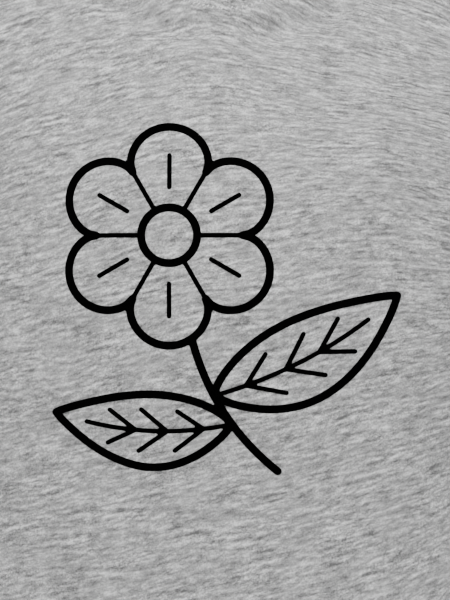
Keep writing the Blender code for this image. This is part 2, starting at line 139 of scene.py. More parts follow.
# Columns: angle0, angle1, and in millimetres drop0, drop1, bow, start width, end width, height
BODY_FOLDS = (
    (66, 118, 236, 330, 12, 13, 22, -7.5),
    (70, 140, 272, 405, 16, 14, 24, 9),
    (66, 112, 330, 425, 10, 15, 20, -7),
    (58, 132, 548, 455, -12, 17, 22, -6.4),
    (42, 122, 615, 520, -10, 19, 22, 6.8),
    (28, 84, 640, 600, -6, 16, 18, -6.5),
    (100, 162, 300, 235, -10, 16, 22, -6.5),
    (108, 172, 365, 480, 10, 16, 22, -7.8),
    (124, 176, 500, 452, -10, 17, 22, 7.5),
    (116, 166, 570, 545, -8, 16, 20, -7),
    (-68, -122, 246, 345, -12, 13, 22, -7.8),
    (-71, -142, 288, 425, -16, 14, 24, 8.8),
    (-67, -110, 352, 450, -10, 15, 20, -7),
    (-60, -128, 560, 480, 12, 17, 22, -6.6),
    (-45, -120, 630, 548, 10, 19, 22, 6.8),
    (-22, -76, 655, 622, 6, 16, 18, -6.2),
    (-98, -160, 318, 250, 10, 16, 22, -6.2),
    (-112, -174, 390, 500, -10, 16, 22, -7.6),
    (-126, -178, 525, 470, 10, 17, 22, 7.2),
    (-118, -164, 596, 560, 8, 16, 20, -6.8),
    (180, 177, 120, 400, 4, 24, 30, -6),
)

# Large folds of the sleeves, in millimetres, with a start and an end. u is the distance round from
# the top line, positive in front, and v the distance down from the armhole, with bow as above.
# Columns: u0, v0, u1, v1, bow, start width, end width, height
FOLDS = {
    "sleeve_left": (
        (196, 12, 50, 80, 12, 12, 18, -7.8),
        (196, 64, 60, 150, 12, 12, 18, 7.6),
        (-196, 14, -45, 86, -12, 12, 18, -7.6),
        (-194, 70, -68, 160, -12, 12, 18, 7.2),
        (22, 30, 44, 250, 6, 16, 20, 5.2),
        (-44, 100, -20, 260, 4, 15, 19, -5.4),
        (104, 130, 90, 260, 4, 14, 17, -5.2),
    ),
    "sleeve_right": (
        (196, 16, 56, 90, 12, 12, 18, -7.8),
        (194, 74, 70, 160, 12, 12, 18, 7.2),
        (-196, 12, -50, 74, -12, 12, 18, -7.6),
        (-196, 60, -58, 145, -12, 12, 18, 7.6),
        (-18, 30, -40, 250, -6, 16, 20, 5.2),
        (48, 110, 28, 260, -4, 15, 19, -5.4),
        (-100, 120, -88, 260, -4, 14, 17, -5.2),
    ),
}
# Smaller creases, in the same columns. On the body u is the distance from the centre and v the drop.
CREASES = {
    "front": (
        # A hollow below the neck seam, deeper on both sides of the centre, and faint drag lines across
        # the chest
        (-96, 88, 96, 88, -24, 10, 10, -3.6),
        (14, 124, 96, 90, 0, 12, 13, -8.2),
        (-10, 126, -88, 88, 0, 12, 12, -6.8),
        (10, 117, 40, 108, 0, 7, 7, -1.4),
        (-8, 118, -42, 105, 0, 8, 8, -2.6),
        (35, 176, 165, 140, 3, 3, 6, -0.5),
        (40, 184, 165, 150, 3, 4, 8, 0.5),
        (-165, 165, -70, 190, -4, 8, 10, 0.4),
        # Soft unevenness where the cloth leaves the chest
        (-135, 300, -20, 298, 0, 17, 17, 1),
        (-150, 392, -40, 378, 0, 18, 18, -1.1),
        (0, 300, 100, 296, 0, 15, 17, 0.9),
        (20, 448, 130, 410, 0, 20, 20, -1),
        (-160, 478, -90, 560, 6, 14, 20, -2),
        (160, 455, 100, 560, -6, 14, 20, -1.8),
        # Pulls from the armpits
        (214, 192, 152, 176, 4, 6, 10, -1.8),
        (214, 206, 156, 206, 3, 6, 11, 2),
        (212, 244, 156, 316, 6, 6, 11, -2.6),
        (212, 300, 162, 430, 6, 8, 12, 2.2),
        (-214, 190, -154, 170, -4, 6, 10, -1.8),
        (-214, 208, -158, 210, -3, 6, 11, 2),
        (-212, 250, -156, 330, -6, 6, 11, -2.8),
        (-212, 318, -164, 450, -6, 8, 12, 2.2),
        # Slack at the waist and above the hem
        (212, 450, 130, 530, 6, 10, 14, -3),
        (212, 486, 112, 590, 8, 10, 16, 3),
        (-212, 466, -135, 540, -6, 10, 14, -2.8),
        (-212, 505, -118, 605, -7, 10, 15, 3),
        (20, 820, 26, 580, 4, 12, 14, -2.6),
        (98, 840, 104, 560, -5, 11, 13, 2.8),
        (-58, 840, -66, 580, 4, 11, 13, 2.6),
        (-124, 830, -130, 560, 4, 11, 13, -2.6),
    ),
    "back": (
        # Pulls from the armpits, and slack across the waist and above the hem
        (214, 190, 110, 160, 6, 8, 15, 3),
        (212, 222, 85, 262, 8, 7, 14, 3.4),
        (212, 276, 120, 440, 10, 8, 14, -3.4),
        (210, 400, 125, 560, 8, 10, 15, 3.4),
        (-214, 194, -118, 164, -6, 8, 15, 2.8),
        (-212, 230, -82, 276, -8, 7, 14, 3.4),
        (-212, 290, -116, 460, -10, 8, 14, -3.4),
        (-210, 420, -130, 580, -8, 10, 15, 3.2),
        (105, 425, 25, 480, 6, 10, 13, -3.2),
        (-100, 445, -22, 505, -6, 10, 13, -3),
        (90, 500, 10, 565, 6, 10, 14, 2.8),
        (35, 840, 30, 520, 4, 11, 13, 2.6),
        (-40, 840, -34, 540, -4, 11, 13, -2.6),
    ),
    "sleeve_left": (
        # Pulls from the underarm and from the shoulder, and slack above the cuff, as on the right
        (200, 30, 70, 108, 10, 7, 10, -3.2),
        (200, 94, 105, 170, 8, 8, 11, -3),
        (110, -20, 72, 70, 4, 8, 10, 2.4),
        (-200, 36, -65, 116, -10, 7, 10, -3.2),
        (-198, 100, -110, 176, -8, 8, 11, -2.8),
        (-112, -20, -78, 80, -4, 8, 10, 2.4),
        (120, 270, 108, 120, 4, 9, 10, -2.6),
        (-118, 270, -104, 130, 4, 9, 10, 2.6),
    ),
    "sleeve_right": (
        (200, 36, 72, 118, 10, 7, 10, -3.2),
        (198, 104, 108, 178, 8, 8, 11, -2.8),
        (112, -20, 76, 80, 4, 8, 10, 2.4),
        (-200, 28, -68, 100, -10, 7, 10, -3.2),
        (-200, 90, -100, 164, -8, 8, 11, -3),
        (-108, -20, -70, 70, -4, 8, 10, 2.4),
        (116, 270, 104, 126, 4, 9, 10, 2.6),
        (-120, 270, -110, 116, 4, 9, 10, -2.6),
    ),
}
SLEEVE_AROUND = 0.42  # its girth at mid length, which turns an angle into the folds' u
SLEEVE_LENGTH = 0.20
SIDE_FADE = 0.05  # share of a panel's half width in which the folds die out towards its side edges
TOP_FADE = 0.06  # the same towards the top edges and the armholes
UNDERARM_FADE = 0.014  # distance in which they die out towards the sleeve's underarm line

# Uneven slackness all over: this many soft waves, of these lengths and heights
WAVE_COUNT = 14
WAVE_LENGTHS = (0.030, 0.090)
WAVE_HEIGHT = 0.00028
WAVE_SEED = 5

# Seams roll inwards at their edges and pucker beside them
ROLL_DEPTH = 0.0007
ROLL_REACH = 0.0014
PUCKER_PITCH = 0.011
PUCKER_HEIGHT = 0.0004
PUCKER_REACH = 0.006
HEM_PUCKER_PITCH = 0.0085
HEM_PUCKER_HEIGHT = 0.0003
HEM_PUCKER_REACH = 0.009
SEAM_STEPS = (0.0004, 0.0010, 0.0020)  # distances from a seam of the extra rows that shape it
PUCKER_SWAY = (2.0, 0.9)  # how far and how fast the puckers' pitch wanders
HEM_PUCKER_SWAY = (1.7, 0.7)
EDGE_ROUNDING = 0.9  # share of a half circle that a hem's edge takes
NEAR_NECK = 0.05  # how far below the neckline the distance from it is measured
FAR_OFF = 1.0

# Mesh density
HEM_EDGE_ROWS = (0, 0.0003, 0.0009, 0.002)  # rows of a hem, from its edge
HEM_EVEN_ROWS = (0.004, 0.001)  # where its even rows start, and their pitch
NECK_COLUMNS = 40  # in a quarter of the neckline
NECK_CROWDING = 1.4
SHOULDER_COLUMNS = 46
BODY_ROWS = 148
ARMHOLE_ROWS = 84  # in half of an armhole
SLEEVE_ROWS = 104
RIB_COUNT = 324
RIB_POINTS = 4  # round each rib
RIB_HEIGHT = 0.0005
BAND_ROWS = 14
BAND_FIRST_ROW = 0.1  # share of its height where the even rows start
FOLD_TURNS = 6  # rows round a folded edge
RIB_FADE = 0.0015  # the ribs start this far above the seam
SECTION_POINTS = 25
NECK_POINTS = 161  # in half of the neckline
NECK_FINE_POINTS = 4001
SEWING_POINTS = 160  # in a line that a hem's row of stitches follows
ROUND_POINTS = 361  # in a full turn, for the neck's rows and for the print

# Sewing: the rows lie this far from the folded edge, and below the neck seam
HEM_ROWS = (0.0145, 0.0195)
NECK_ROWS = (0.0020, 0.0090)
STITCH_PITCH = 0.0034
STITCH_LENGTH = 0.0028
STITCH_TURN = math.radians(60)  # each lies aslant across its row
THREAD_RADIUS = 0.00058
STITCH_SIDES = 6
# Columns: place along the stitch, its thickness, and its height in radii of the thread
STITCH_RINGS = (
    (-0.50, 0.35, -1.0),
    (-0.36, 1.00, 0.1),
    (0.00, 1.15, 0.5),
    (0.36, 1.00, 0.1),
    (0.50, 0.35, -1.0),
)
STITCH_NEIGHBOURS = 2  # on each side, whose cloth also tells a stitch which way up it lies
STITCH_DENT = 0.00030
STITCH_DENT_REACH = 0.0013

# Courses of the knit: the body's rise to one side, and bend further beyond a start, on side 1 towards
# the left sleeve and on side -1 towards the right one
COURSE_SKEW = {"front": 0.20, "back": -0.18}
# Columns: side, start, softness, slope, and the drops of its top and bottom with their fade
COURSE_BENDS = {
    "front": (
        (1, -0.012, 0.010, -0.70, -0.100, 0.165, 0.030),
        (1, 0.118, 0.010, -0.52, 0.190, 0.290, 0.030),
        (-1, -0.052, 0.014, 0.14, -0.100, 0.250, 0.050),
        (1, 0.060, 0.020, 0.12, 0.340, 0.900, 0.040),
    ),
    "back": ((1, 0.010, 0.020, 0.40, -0.100, 0.110, 0.030),),
}
DRIFT_LENGTHS = (0.075, 0.050)  # the courses wander with these lengths along and across
DRIFT = 0.0070
# Painted light and shade of the knit's loops: each stitch's crown is painted lighter and the gaps between
# them darker
PAINTED_STITCH_SHADING = 0.06  # how much lighter a stitch is at its crown, as a share of the marl's range
# Each piece is cut from another part of the cloth
PIECE_OFFSET = {"front": 0.0, "back": 1.7, "sleeve_left": 3.1, "sleeve_right": 4.3, "neckband": 5.9}
HANDS = {"sleeve_left": 1, "sleeve_right": -1}

# Marl: noises that follow each yarn
# Columns: lengths along and across the yarn, turn, detail, roughness, distortion, weight
YARN_NOISES = {
    "streaks": ((0.0096, 0.0027), 0.0, 1.0, 0.45, 0.1, 0.96),
    "slubs": ((0.0260, 0.0036), 0.05, 1.0, 0.5, 0.1, 0.82),
    "flecks": ((0.0044, 0.0020), -0.16, 1.0, 0.5, 0.0, 0.68),
    "fibres": ((0.0021, 0.0010), 0.20, 2.0, 0.6, 0.0, 0.70),
    "grain": ((0.0012, 0.0010), 0.0, 1.0, 0.5, 0.0, 0.74),
}
YARN_RELIEF_WEIGHTS = {"streaks": 1.0, "flecks": 0.5, "fibres": 0.4}
YARN_RELIEF = 0.00018
CLOUD_LENGTHS = (0.045, 0.020)
CLOUD_WEIGHT = 0.14
PATCH_LENGTHS = (0.034, 0.017)
PATCH_STRENGTH = 1.21  # how much the noises' strength follows the patches
LEAST_STRENGTH = 0.354
LOOP_WEIGHT = 0.35
WALE_WEIGHT = 0.5
STITCH_RELIEF = 0.00008
BUMP_STRENGTH = 0.5

# Greys of the yarns, each after its place in the noise, and a stitch's width and height
JERSEY_SHADES = ((0.10, 0.15), (0.5, 0.415), (0.78, 0.76), (0.95, 0.96))
# The rib's greys are darker than the jersey's: its yarns' own grey with painted shade of the grooves
# between its ribs
RIB_GREYS_WITH_PAINTED_SHADE = ((0.10, 0.13), (0.5, 0.38), (0.78, 0.68), (0.95, 0.86))
JERSEY_STITCH = (0.00075, 0.00058)
RIB_STITCH = (0.0008, 0.0006)

# Print: where its middle lies, and how far its faces stand above and below the cloth
PRINT_MIDDLE_DROP = 0.3016
PRINT_RISE = 0.00018
PRINT_SINK = 0.00010

# Its drawing, a flower in bold lines, in millimetres from that middle, x to the viewer's right
BOLD_LINE = 5.5
FINE_LINE = 3.2
BLOOM_CENTRE = (-38, 43)
BLOOM_PETALS = 6
BLOOM_TIP = 75
BLOOM_NOTCH = 50
BLOOM_EYE = 19
PETAL_POWER = 0.6
SPOKE_ENDS = (14, 20)  # what a petal's short line leaves free at the eye and at the tip
STEM = ((-26, -12), (-14, -78), (36, -118))
STEM_HIDDEN = 3  # points of the stem that the bloom covers
# Columns: base, tip, half width, bend
LEAVES = (((-7, -66), (118, 2), 28, -8), ((4, -86), (-116, -78), 25, 8))
LEAF_POINTS = 40
LEAF_POWER = 0.85
MIDRIB_POINTS = 33
VEINS = (0.16, 0.56, 3)  # places of a leaf's first and last vein along it, and how many
VEIN_RUN = 6  # points that a vein moves on along the midrib
VEIN_REACH = 0.58  # share of the way to the leaf's edge
PRINT_HALF = 126  # half the side of the square that holds it
PRINT_CELL = 1.0  # side of its faces
KEY_DIGITS = 4  # a point's place is rounded to these

# The photograph's frame: what the camera takes in at the chest
FRAME_HEIGHT = 0.408
FRAME_MIDDLE_DROP = 0.3026
CHEST_FRONT = 0.134
CAMERA_DISTANCE = 1.6
SENSOR = 36.0  # millimetres

# Floor, room and lights, which point at the chest
FLOOR_REACH = 6.0
FLOOR_HEIGHT = -0.80
FLOOR_GREY = 0.72
ROOM_GREY = 0.9
ROOM_STRENGTH = 0.32
CHEST = (0, 0, -0.30)
# Columns: place, size, power
LIGHTS = {
    "key": ((-0.25, -1.6, 2.2), (1.6, 0.8), 92),
    "fill": ((0.3, -2.6, -0.1), (2.0, 1.2), 10),
    "rear": ((0.8, 1.7, 2.1), (1.6, 0.8), 92),
}

MILLIMETRES = 1000  # in a metre
SQUARE = ((0, 0), (0, 1), (1, 1), (1, 0))  # row and column of its corners
ROUND_OFF = 1e-6
STEP = 1e-3  # over which slopes are measured
LEAST_TURN = 0.01  # keeps an armhole's angle above 0
EDGE_POWER = 4  # how close to a panel's sides their armholes still shape it


def mix(a, b, share):
    return a + (b - a) * share


def unit(vectors):
    return vectors / np.linalg.norm(vectors, axis=-1, keepdims=True)


def cubic(t, start, start_slope, end, end_slope):
    """A cubic curve between two values with these slopes, t from 0 to 1."""
    leaves = (1 + 2 * t) * (1 - t) ** 2 * start + t * (1 - t) ** 2 * start_slope
    return leaves + t * t * (3 - 2 * t) * end - t * t * (1 - t) * end_slope


def between(x, knots, values):
    """A smooth curve through (knots, values): cubic pieces whose slopes come from their neighbours."""
    knots, values = np.asarray(knots, float), np.asarray(values, float)
    slopes = np.gradient(values, knots)
    x = np.clip(x, knots[0], knots[-1])
    i = np.clip(np.searchsorted(knots, x) - 1, 0, len(knots) - 2)
    width = knots[i + 1] - knots[i]
    t = (x - knots[i]) / width
    return cubic(t, values[i], width * slopes[i], values[i + 1], width * slopes[i + 1])


def torso_column(name, drop):
    table = np.array(TORSO)
    return between(drop, table[:, 0], table[:, TORSO_COLUMNS.index(name)])


def soft_distance(x):
    return np.sqrt(x * x + RIDGE_SOFTNESS**2)


def ridge_drop(x):
    """Drop of the shoulder's ridge at x, which is the shoulder seam outside the neck point."""
    run = soft_distance(x) - soft_distance(NECK_HALF)
    return SHOULDER_DROP * run / (soft_distance(SHOULDER_REACH) - soft_distance(NECK_HALF))


def rounding(side, x, height):
    """Share of the full depth that the surface has reached at that height below the ridge."""
    centre_power, centre_height, side_power, side_height = ROUNDING[side]
    out = np.clip(np.abs(x) / ROUNDING_REACH, 0, 1) ** ROUNDING_BLEND
    power = mix(centre_power, side_power, out)
    share = np.clip(height / mix(centre_height, side_height, out), 0, 1)
    return (1 - (1 - share) ** power) ** (1 / power)


def surface_depth(side, x, drop):
    """How far the surface stands in front of, or behind, the plane through both side seams."""
    share = np.clip(np.abs(x) / torso_column("half_width", drop), 0, 1)
    section = (1 - share**SQUARENESS) ** (1 / SQUARENESS)
    return torso_column(side, drop) * section * rounding(side, x, drop - ridge_drop(x))


def armhole_edge(arc, drop):
    """Distance of the armhole from the centre, and the angle of the torso's section that it takes in."""
    forward = ARMHOLE_SHARE * np.sin(np.minimum(arc, math.pi / 2))
    share = (1 - forward**SQUARENESS) ** (1 / SQUARENESS)
    above = np.sin(np.maximum(arc, math.pi / 2)) ** 2
    reach = mix(SHOULDER_REACH, torso_column("half_width", drop) * share, above)
    return reach, np.arcsin(share) * np.maximum(above, LEAST_TURN)


def top_drop(side, x):
    """Drop of the panel's top edge: the neckline near the centre and the shoulder seam outside it."""
    neck = NECK_DROP[side] * np.clip(1 - (x / NECK_HALF) ** 2, 0, 1) ** NECK_ROUNDNESS
    return np.where(np.abs(x) < NECK_HALF, neck, ridge_drop(x))


def turn_from(angle, start):
    """The shorter turn from a start to an angle."""
    return np.mod(angle - start + math.pi, 2 * math.pi) - math.pi


def fold_share(u, v, reach_u, reach_v, bow, start_width, end_width):
    """Share of a fold's height at (u, v) from its start, where its end lies (reach_u, reach_v) away."""
    run = math.hypot(reach_u, reach_v)
    along = (u * reach_u + v * reach_v) / run**2
    inside = np.clip(4 * along * (1 - along), 0, 1)
    off = (u * reach_v - v * reach_u) / run - bow * inside
    width = mix(start_width, end_width, np.clip(along, 0, 1))
    return inside * np.exp(-((off / width) ** 2))


def level_way(angle):
    """Level unit vectors at an angle from the front's centre towards the left."""
    return np.stack([np.sin(angle), -np.cos(angle), np.zeros_like(angle)], axis=-1)


def drape(points):
    """Moves points of the torso in or out, level, by the hem's waves and the body's large folds."""
    angle = np.arctan2(points[..., 0], -points[..., 1])
    drop = -points[..., 2]
    height = np.zeros_like(drop)
    for degrees, half_width, start_drop, most in HEM_WAVES:
        off = turn_from(angle, math.radians(degrees))
        grown = np.clip((drop - start_drop) / (LENGTH - start_drop), 0, 1) ** HEM_WAVE_GROWTH
        height += most * grown * np.exp(-((off / math.radians(half_width)) ** 2))
    for angle0, angle1, *lengths in BODY_FOLDS:
        drop0, drop1, bow, start_width, end_width, most = (value / MILLIMETRES for value in lengths)
        reach = ROUND_RADIUS * math.radians(angle1 - angle0)
        u = ROUND_RADIUS * turn_from(angle, math.radians(angle0 + angle1) / 2) + reach / 2
        height += most * fold_share(u, drop - drop0, reach, drop1 - drop0, bow, start_width, end_width)
    return points + level_way(angle) * height[..., None]


def torso_form(side, across, up):
    """Points of the front or back panel, without folds.

    across runs from -1 to 1 between its side edges. up runs from 0 at the hem, past 1 at the
    armpit, to 2 at the shoulder seam and neckline.
    """
    across, up = np.broadcast_arrays(np.asarray(across, float), np.asarray(up, float))
    arc = np.clip(up - 1, 0, 1) * math.pi
    edge_climb = (1 - np.cos(arc)) / 2
    climb = mix(np.sin(arc / 2), edge_climb, across**EDGE_POWER)
    low_drop = mix(LENGTH, ARMPIT_DROP, np.clip(up, 0, 1))
    reach, turn = armhole_edge(arc, mix(low_drop, SHOULDER_DROP, edge_climb))
    top_x = SHOULDER_REACH * across
    low_x = reach * np.sin(across * turn) / np.sin(turn)
    x = mix(low_x, top_x, climb * (1 - across**EDGE_POWER))
    drop = mix(low_drop, top_drop(side, top_x), climb)
    y = surface_depth(side, x, drop) + SEAM_GAP / 2
    return np.stack([x, -y if side == "front" else y, -drop], axis=-1)


def torso(side, across, up):
    """Points of the front or back panel, with the body's large folds."""
    return drape(torso_form(side, across, up))


def arm_directions(hand):
    along = np.array([hand * math.sin(ARM_ANGLE), 0, -math.cos(ARM_ANGLE)])
    outwards = np.array([hand * math.cos(ARM_ANGLE), 0, math.sin(ARM_ANGLE)])
    return along, outwards


def armhole(hand, arc):
    """Points of the armhole, arc from 0 at the armpit over the front to the shoulder and down the back."""
    arc = np.mod(arc, 2 * math.pi)
    front = torso("front", float(hand), 1 + np.minimum(arc, math.pi) / math.pi)
    back = torso("back", float(hand), 1 + np.minimum(2 * math.pi - arc, math.pi) / math.pi)
    points = np.where((arc <= math.pi)[..., None], front, back)
    points[..., 1] -= np.where(arc <= math.pi, -1, 1) * SEAM_GAP / 2
    return points


def sleeve(hand, arc, along):
    """Points of a sleeve, without folds: arc as in armhole, along from 0 there to 1 at the cuff."""
    arc, along = np.broadcast_arrays(np.asarray(arc, float), np.asarray(along, float))
    down, outwards = arm_directions(hand)
    start = armhole(hand, arc)
    centre = np.array(CUFF_CENTRE) * (hand, 1, 1)
    round_cuff = CUFF_LONG_RADIUS * np.cos(arc)[..., None] * outwards
    end = centre - round_cuff - CUFF_SHORT_RADIUS * np.sin(arc)[..., None] * np.array([0, 1, 0])
    top = (1 - np.cos(arc)) / 2
    sideways = hand * mix(UNDERARM_LEAVES[0], SHOULDER_LEAVES[0], top)
    upwards = mix(UNDERARM_LEAVES[1], SHOULDER_LEAVES[1], top)
    leaves = unit(np.stack([sideways, SLEEVE_CLOSES * np.sin(arc), upwards], axis=-1))
    gap_way = np.stack([hand * np.ones_like(arc), np.sin(arc), np.cos(arc)], axis=-1) * ARMHOLE_GAP_WAY
    start = start + SEAM_GAP * unit(gap_way)
    span = np.linalg.norm(end - start, axis=-1, keepdims=True)
    return cubic(along[..., None], start, span * leaves, end, span * down)


def neckline(angle):
    """Points of the neckline, angle from 0 at the front's centre over the left neck point to the back."""
    in_front = np.cos(angle) > -ROUND_OFF
    across = NECK_HALF * np.sin(angle) / SHOULDER_REACH
    front, back = torso("front", across, 2.0), torso("back", across, 2.0)
    points = np.where(in_front[..., None], front, back)
    points[..., 1] -= np.where(in_front, -1, 1) * SEAM_GAP / 2
    return points


def band(angle, up):
    """Points of the neckband, up from 0 at the neckline to 1 at its free edge."""
    angle, up = np.broadcast_arrays(np.asarray(angle, float), np.asarray(up, float))
    base = neckline(angle)
    inwards = -level_way(angle)
    front, back = np.clip(np.cos(angle), 0, 1), np.clip(-np.cos(angle), 0, 1)
    lean = BAND_LEAN["point"] + (BAND_LEAN["front"] - BAND_LEAN["point"]) * front**2
    lean += (BAND_LEAN["back"] - BAND_LEAN["point"]) * back**2
    rise = unit(inwards * lean[..., None] + np.array([0, 0, 1.0]))
    straight = SEAM_GAP + up * BAND_HEIGHT
    curl = BAND_CURL * np.sin(up * math.pi)
    return base + rise * straight[..., None] - inwards * curl[..., None]


def normals(surface, a, b, flip):
    """Unit normals of surface(a, b), from points a small step away along each of its coordinates."""
    along_a = surface(a + STEP, b) - surface(a - STEP, b)
    along_b = surface(a, b + STEP) - surface(a, b - STEP)
    return unit(np.cross(along_a, along_b)) * flip


def panel_normals(side, across, up):
    inner_across, inner_up = np.clip(across, -1 + STEP, 1 - STEP), np.clip(up, STEP, 2 - STEP)
    return normals(lambda a, b: torso(side, a, b), inner_across, inner_up, 1 if side == "front" else -1)


def sleeve_normals(hand, arc, along):
    return normals(lambda a, b: sleeve(hand, a, b), arc, np.clip(along, STEP, 1 - STEP), -hand)


def band_normals(angle, up):
    return normals(band, angle, np.clip(up, STEP, 1 - STEP), 1)


def ridge_normal(x):
    """Normal of the shoulder seam at x, in the plane between front and back."""
    slope = (ridge_drop(x + STEP) - ridge_drop(x - STEP)) / (2 * STEP)
    return unit(np.stack([slope, np.zeros_like(slope), np.ones_like(slope)], axis=-1))


def seam_direction(first, second, at_point):
    """The way from the inner to the outer edge of a seam: midway between the normals of both pieces."""
    middle = first + second
    middle[..., 1] = np.where(at_point, 0, middle[..., 1])
    return unit(middle)


def armhole_direction(hand, arc):
    arc = np.mod(arc, 2 * math.pi)
    up = 1 + np.minimum(arc, 2 * math.pi - arc) / math.pi
    front, back = panel_normals("front", float(hand), up), panel_normals("back", float(hand), up)
    panel_side = np.where((arc < math.pi)[..., None], front, back)
    at_top = np.abs(arc - math.pi) < ROUND_OFF
    at_ridge = ridge_normal(np.full_like(arc, hand * SHOULDER_REACH))
    panel_side = np.where(at_top[..., None], at_ridge, panel_side)
    return seam_direction(panel_side, sleeve_normals(hand, arc, 0.0), np.abs(np.sin(arc)) < ROUND_OFF)


def neckline_direction(angle):
    at_point = np.abs(np.cos(angle)) < ROUND_OFF
    x = NECK_HALF * np.sin(angle)
    front = panel_normals("front", x / SHOULDER_REACH, 2.0)
    back = panel_normals("back", x / SHOULDER_REACH, 2.0)
    panel_side = np.where((np.cos(angle) > 0)[..., None], front, back)
    panel_side = np.where(at_point[..., None], ridge_normal(x), panel_side)
    return seam_direction(panel_side, band_normals(angle, 0.0), at_point)


def panel_directions(side, across, up):
    """The panel's normals, and at its seams the directions that it shares with the next piece."""
    outwards = panel_normals(side, across, up)
    x = SHOULDER_REACH * across[-1]
    at_neck = np.abs(x) < NECK_HALF + ROUND_OFF
    angle = np.arcsin(np.clip(x[at_neck] / NECK_HALF, -1, 1))
    outwards[-1] = ridge_normal(x)
    outwards[-1, at_neck] = neckline_direction(angle if side == "front" else math.pi - angle)
    at_armhole = up[:, 0] > 1 - ROUND_OFF
    arc = (up[at_armhole, 0] - 1) * math.pi * (1 if side == "front" else -1)
    outwards[at_armhole, 0] = armhole_direction(-1, arc)
    outwards[at_armhole, -1] = armhole_direction(1, arc)
    return outwards


def fold_height(piece, u, v):
    """How far the folds of a piece raise it at (u, v)."""
    height = np.zeros_like(u)
    for row in FOLDS.get(piece, ()) + CREASES[piece]:
        u0, v0, u1, v1, bow, start_width, end_width, most = (value / MILLIMETRES for value in row)
        height += most * fold_share(u - u0, v - v0, u1 - u0, v1 - v0, bow, start_width, end_width)
    return height


def slack_height(piece, u, v):
    """Soft waves in all directions, a different set on each piece."""
    draw = np.random.default_rng(WAVE_SEED + sorted(PIECE_OFFSET).index(piece))
    height = np.zeros_like(u)
    for _ in range(WAVE_COUNT):
        length = draw.uniform(*WAVE_LENGTHS)
        heading, phase = draw.uniform(0, 2 * math.pi, 2)
        height += np.sin((u * math.cos(heading) + v * math.sin(heading)) * 2 * math.pi / length + phase)
    return height * WAVE_HEIGHT


def seam_fade(across, up):
    """Folds die out at a panel's seams, so that both sides of a seam stay together."""
    at_side = np.clip((1 - np.abs(across)) / SIDE_FADE, 0, 1)
    at_top = np.clip((2 - up) / (2 * TOP_FADE), 0, 1)
    return at_side * at_top


def sleeve_fade(from_top, along):
    """The same on a sleeve, at the armhole and along the underarm, where its folds don't meet."""
    at_underarm = np.clip((SLEEVE_AROUND / 2 - np.abs(from_top)) / UNDERARM_FADE, 0, 1)
    return np.clip(along / TOP_FADE, 0, 1) * at_underarm


def swing(run, pitch, sway):
    """A wave along a seam, whose pitch wanders."""
    depth, rate = sway
    return np.sin(2 * math.pi * run / pitch + depth * np.sin(run / pitch * rate))


def seam_shape(distance, run):
    """How far the cloth is raised beside a seam: it rolls in at the edge and puckers further off."""
    roll = -ROLL_DEPTH * np.exp(-((distance / ROLL_REACH) ** 2))
    reach = distance / PUCKER_REACH
    return roll + PUCKER_HEIGHT * swing(run, PUCKER_PITCH, PUCKER_SWAY) * reach * np.exp(1 - reach)


def stitch_dent(distance, rows):
    """How far rows of stitches draw the cloth in."""
    return -sum(STITCH_DENT * np.exp(-(((distance - row) / STITCH_DENT_REACH) ** 2)) for row in rows)


def hem_pucker(distance, run):
    """How far the cloth ripples between and beside the stitches of a hem."""
    near = np.exp(-(((distance - HEM_ROWS[0]) / HEM_PUCKER_REACH) ** 2))
    return HEM_PUCKER_HEIGHT * swing(run, HEM_PUCKER_PITCH, HEM_PUCKER_SWAY) * near


def lengths_along(points, axis):
    """Distance of each point along its grid line from that line's first point."""
    steps = np.linalg.norm(np.diff(points, axis=axis), axis=-1)
    start = np.zeros_like(np.take(steps, [0], axis=axis))
    return np.concatenate([start, np.cumsum(steps, axis=axis)], axis=axis)


def distance_to_line(points, line):
    """Shortest distance from each point to a polyline."""
    nearest = np.full(points.shape[:-1], np.inf)
    for start, end in zip(line[:-1], line[1:]):
        way = end - start
        share = np.clip((points - start) @ way / (way @ way), 0, 1)
        nearest = np.minimum(nearest, np.linalg.norm(points - start - share[..., None] * way, axis=-1))
    return nearest


def section_length(side, x, drop):
    """Distance round the torso from its centre line to x, at one height."""
    xs = x[..., None] * np.linspace(0, 1, SECTION_POINTS)
    ys = surface_depth(side, xs, drop[..., None])
    return np.sign(x) * np.sqrt(np.diff(xs, axis=-1) ** 2 + np.diff(ys, axis=-1) ** 2).sum(axis=-1)


def course_lift(side, u, drop):
    """How far a course of the knit has risen at u above its height on the centre line."""
    lift = COURSE_SKEW[side] * u
    for way, start, softness, slope, top, bottom, fade in COURSE_BENDS[side]:
        beyond = way * softness * np.logaddexp(0, way * (u - start) / softness)
        within = 1 / (1 + np.exp((top - drop) / fade)) / (1 + np.exp((drop - bottom) / fade))
        lift = lift + slope * beyond * within
    return lift


def linked(name, data):
    """A new object in the scene."""
    made = bpy.data.objects.new(name, data)
    bpy.context.scene.collection.objects.link(made)
    return made


def new_object(name, points, faces, material, corners=None):
    """An object of smooth faces, with the knit's coordinates at each face's corners."""
    mesh = bpy.data.meshes.new(name)
    mesh.from_pydata([tuple(point) for point in points], [], [tuple(face) for face in faces])
    if corners is not None:
        knit = mesh.uv_layers.new(name="knit")
        knit.data.foreach_set("uv", corners.astype(np.float32).ravel())
    mesh.shade_smooth()
    mesh.materials.append(material)
    return linked(name, mesh)


def grid_squares(rows, columns):
    """Row and column numbers of the corners of every square in a grid, one square on each line."""
    row, column = np.meshgrid(np.arange(rows), np.arange(columns), indexing="ij")
    square = np.array(SQUARE)
    return row.reshape(-1, 1) + square[:, 0], column.reshape(-1, 1) + square[:, 1]


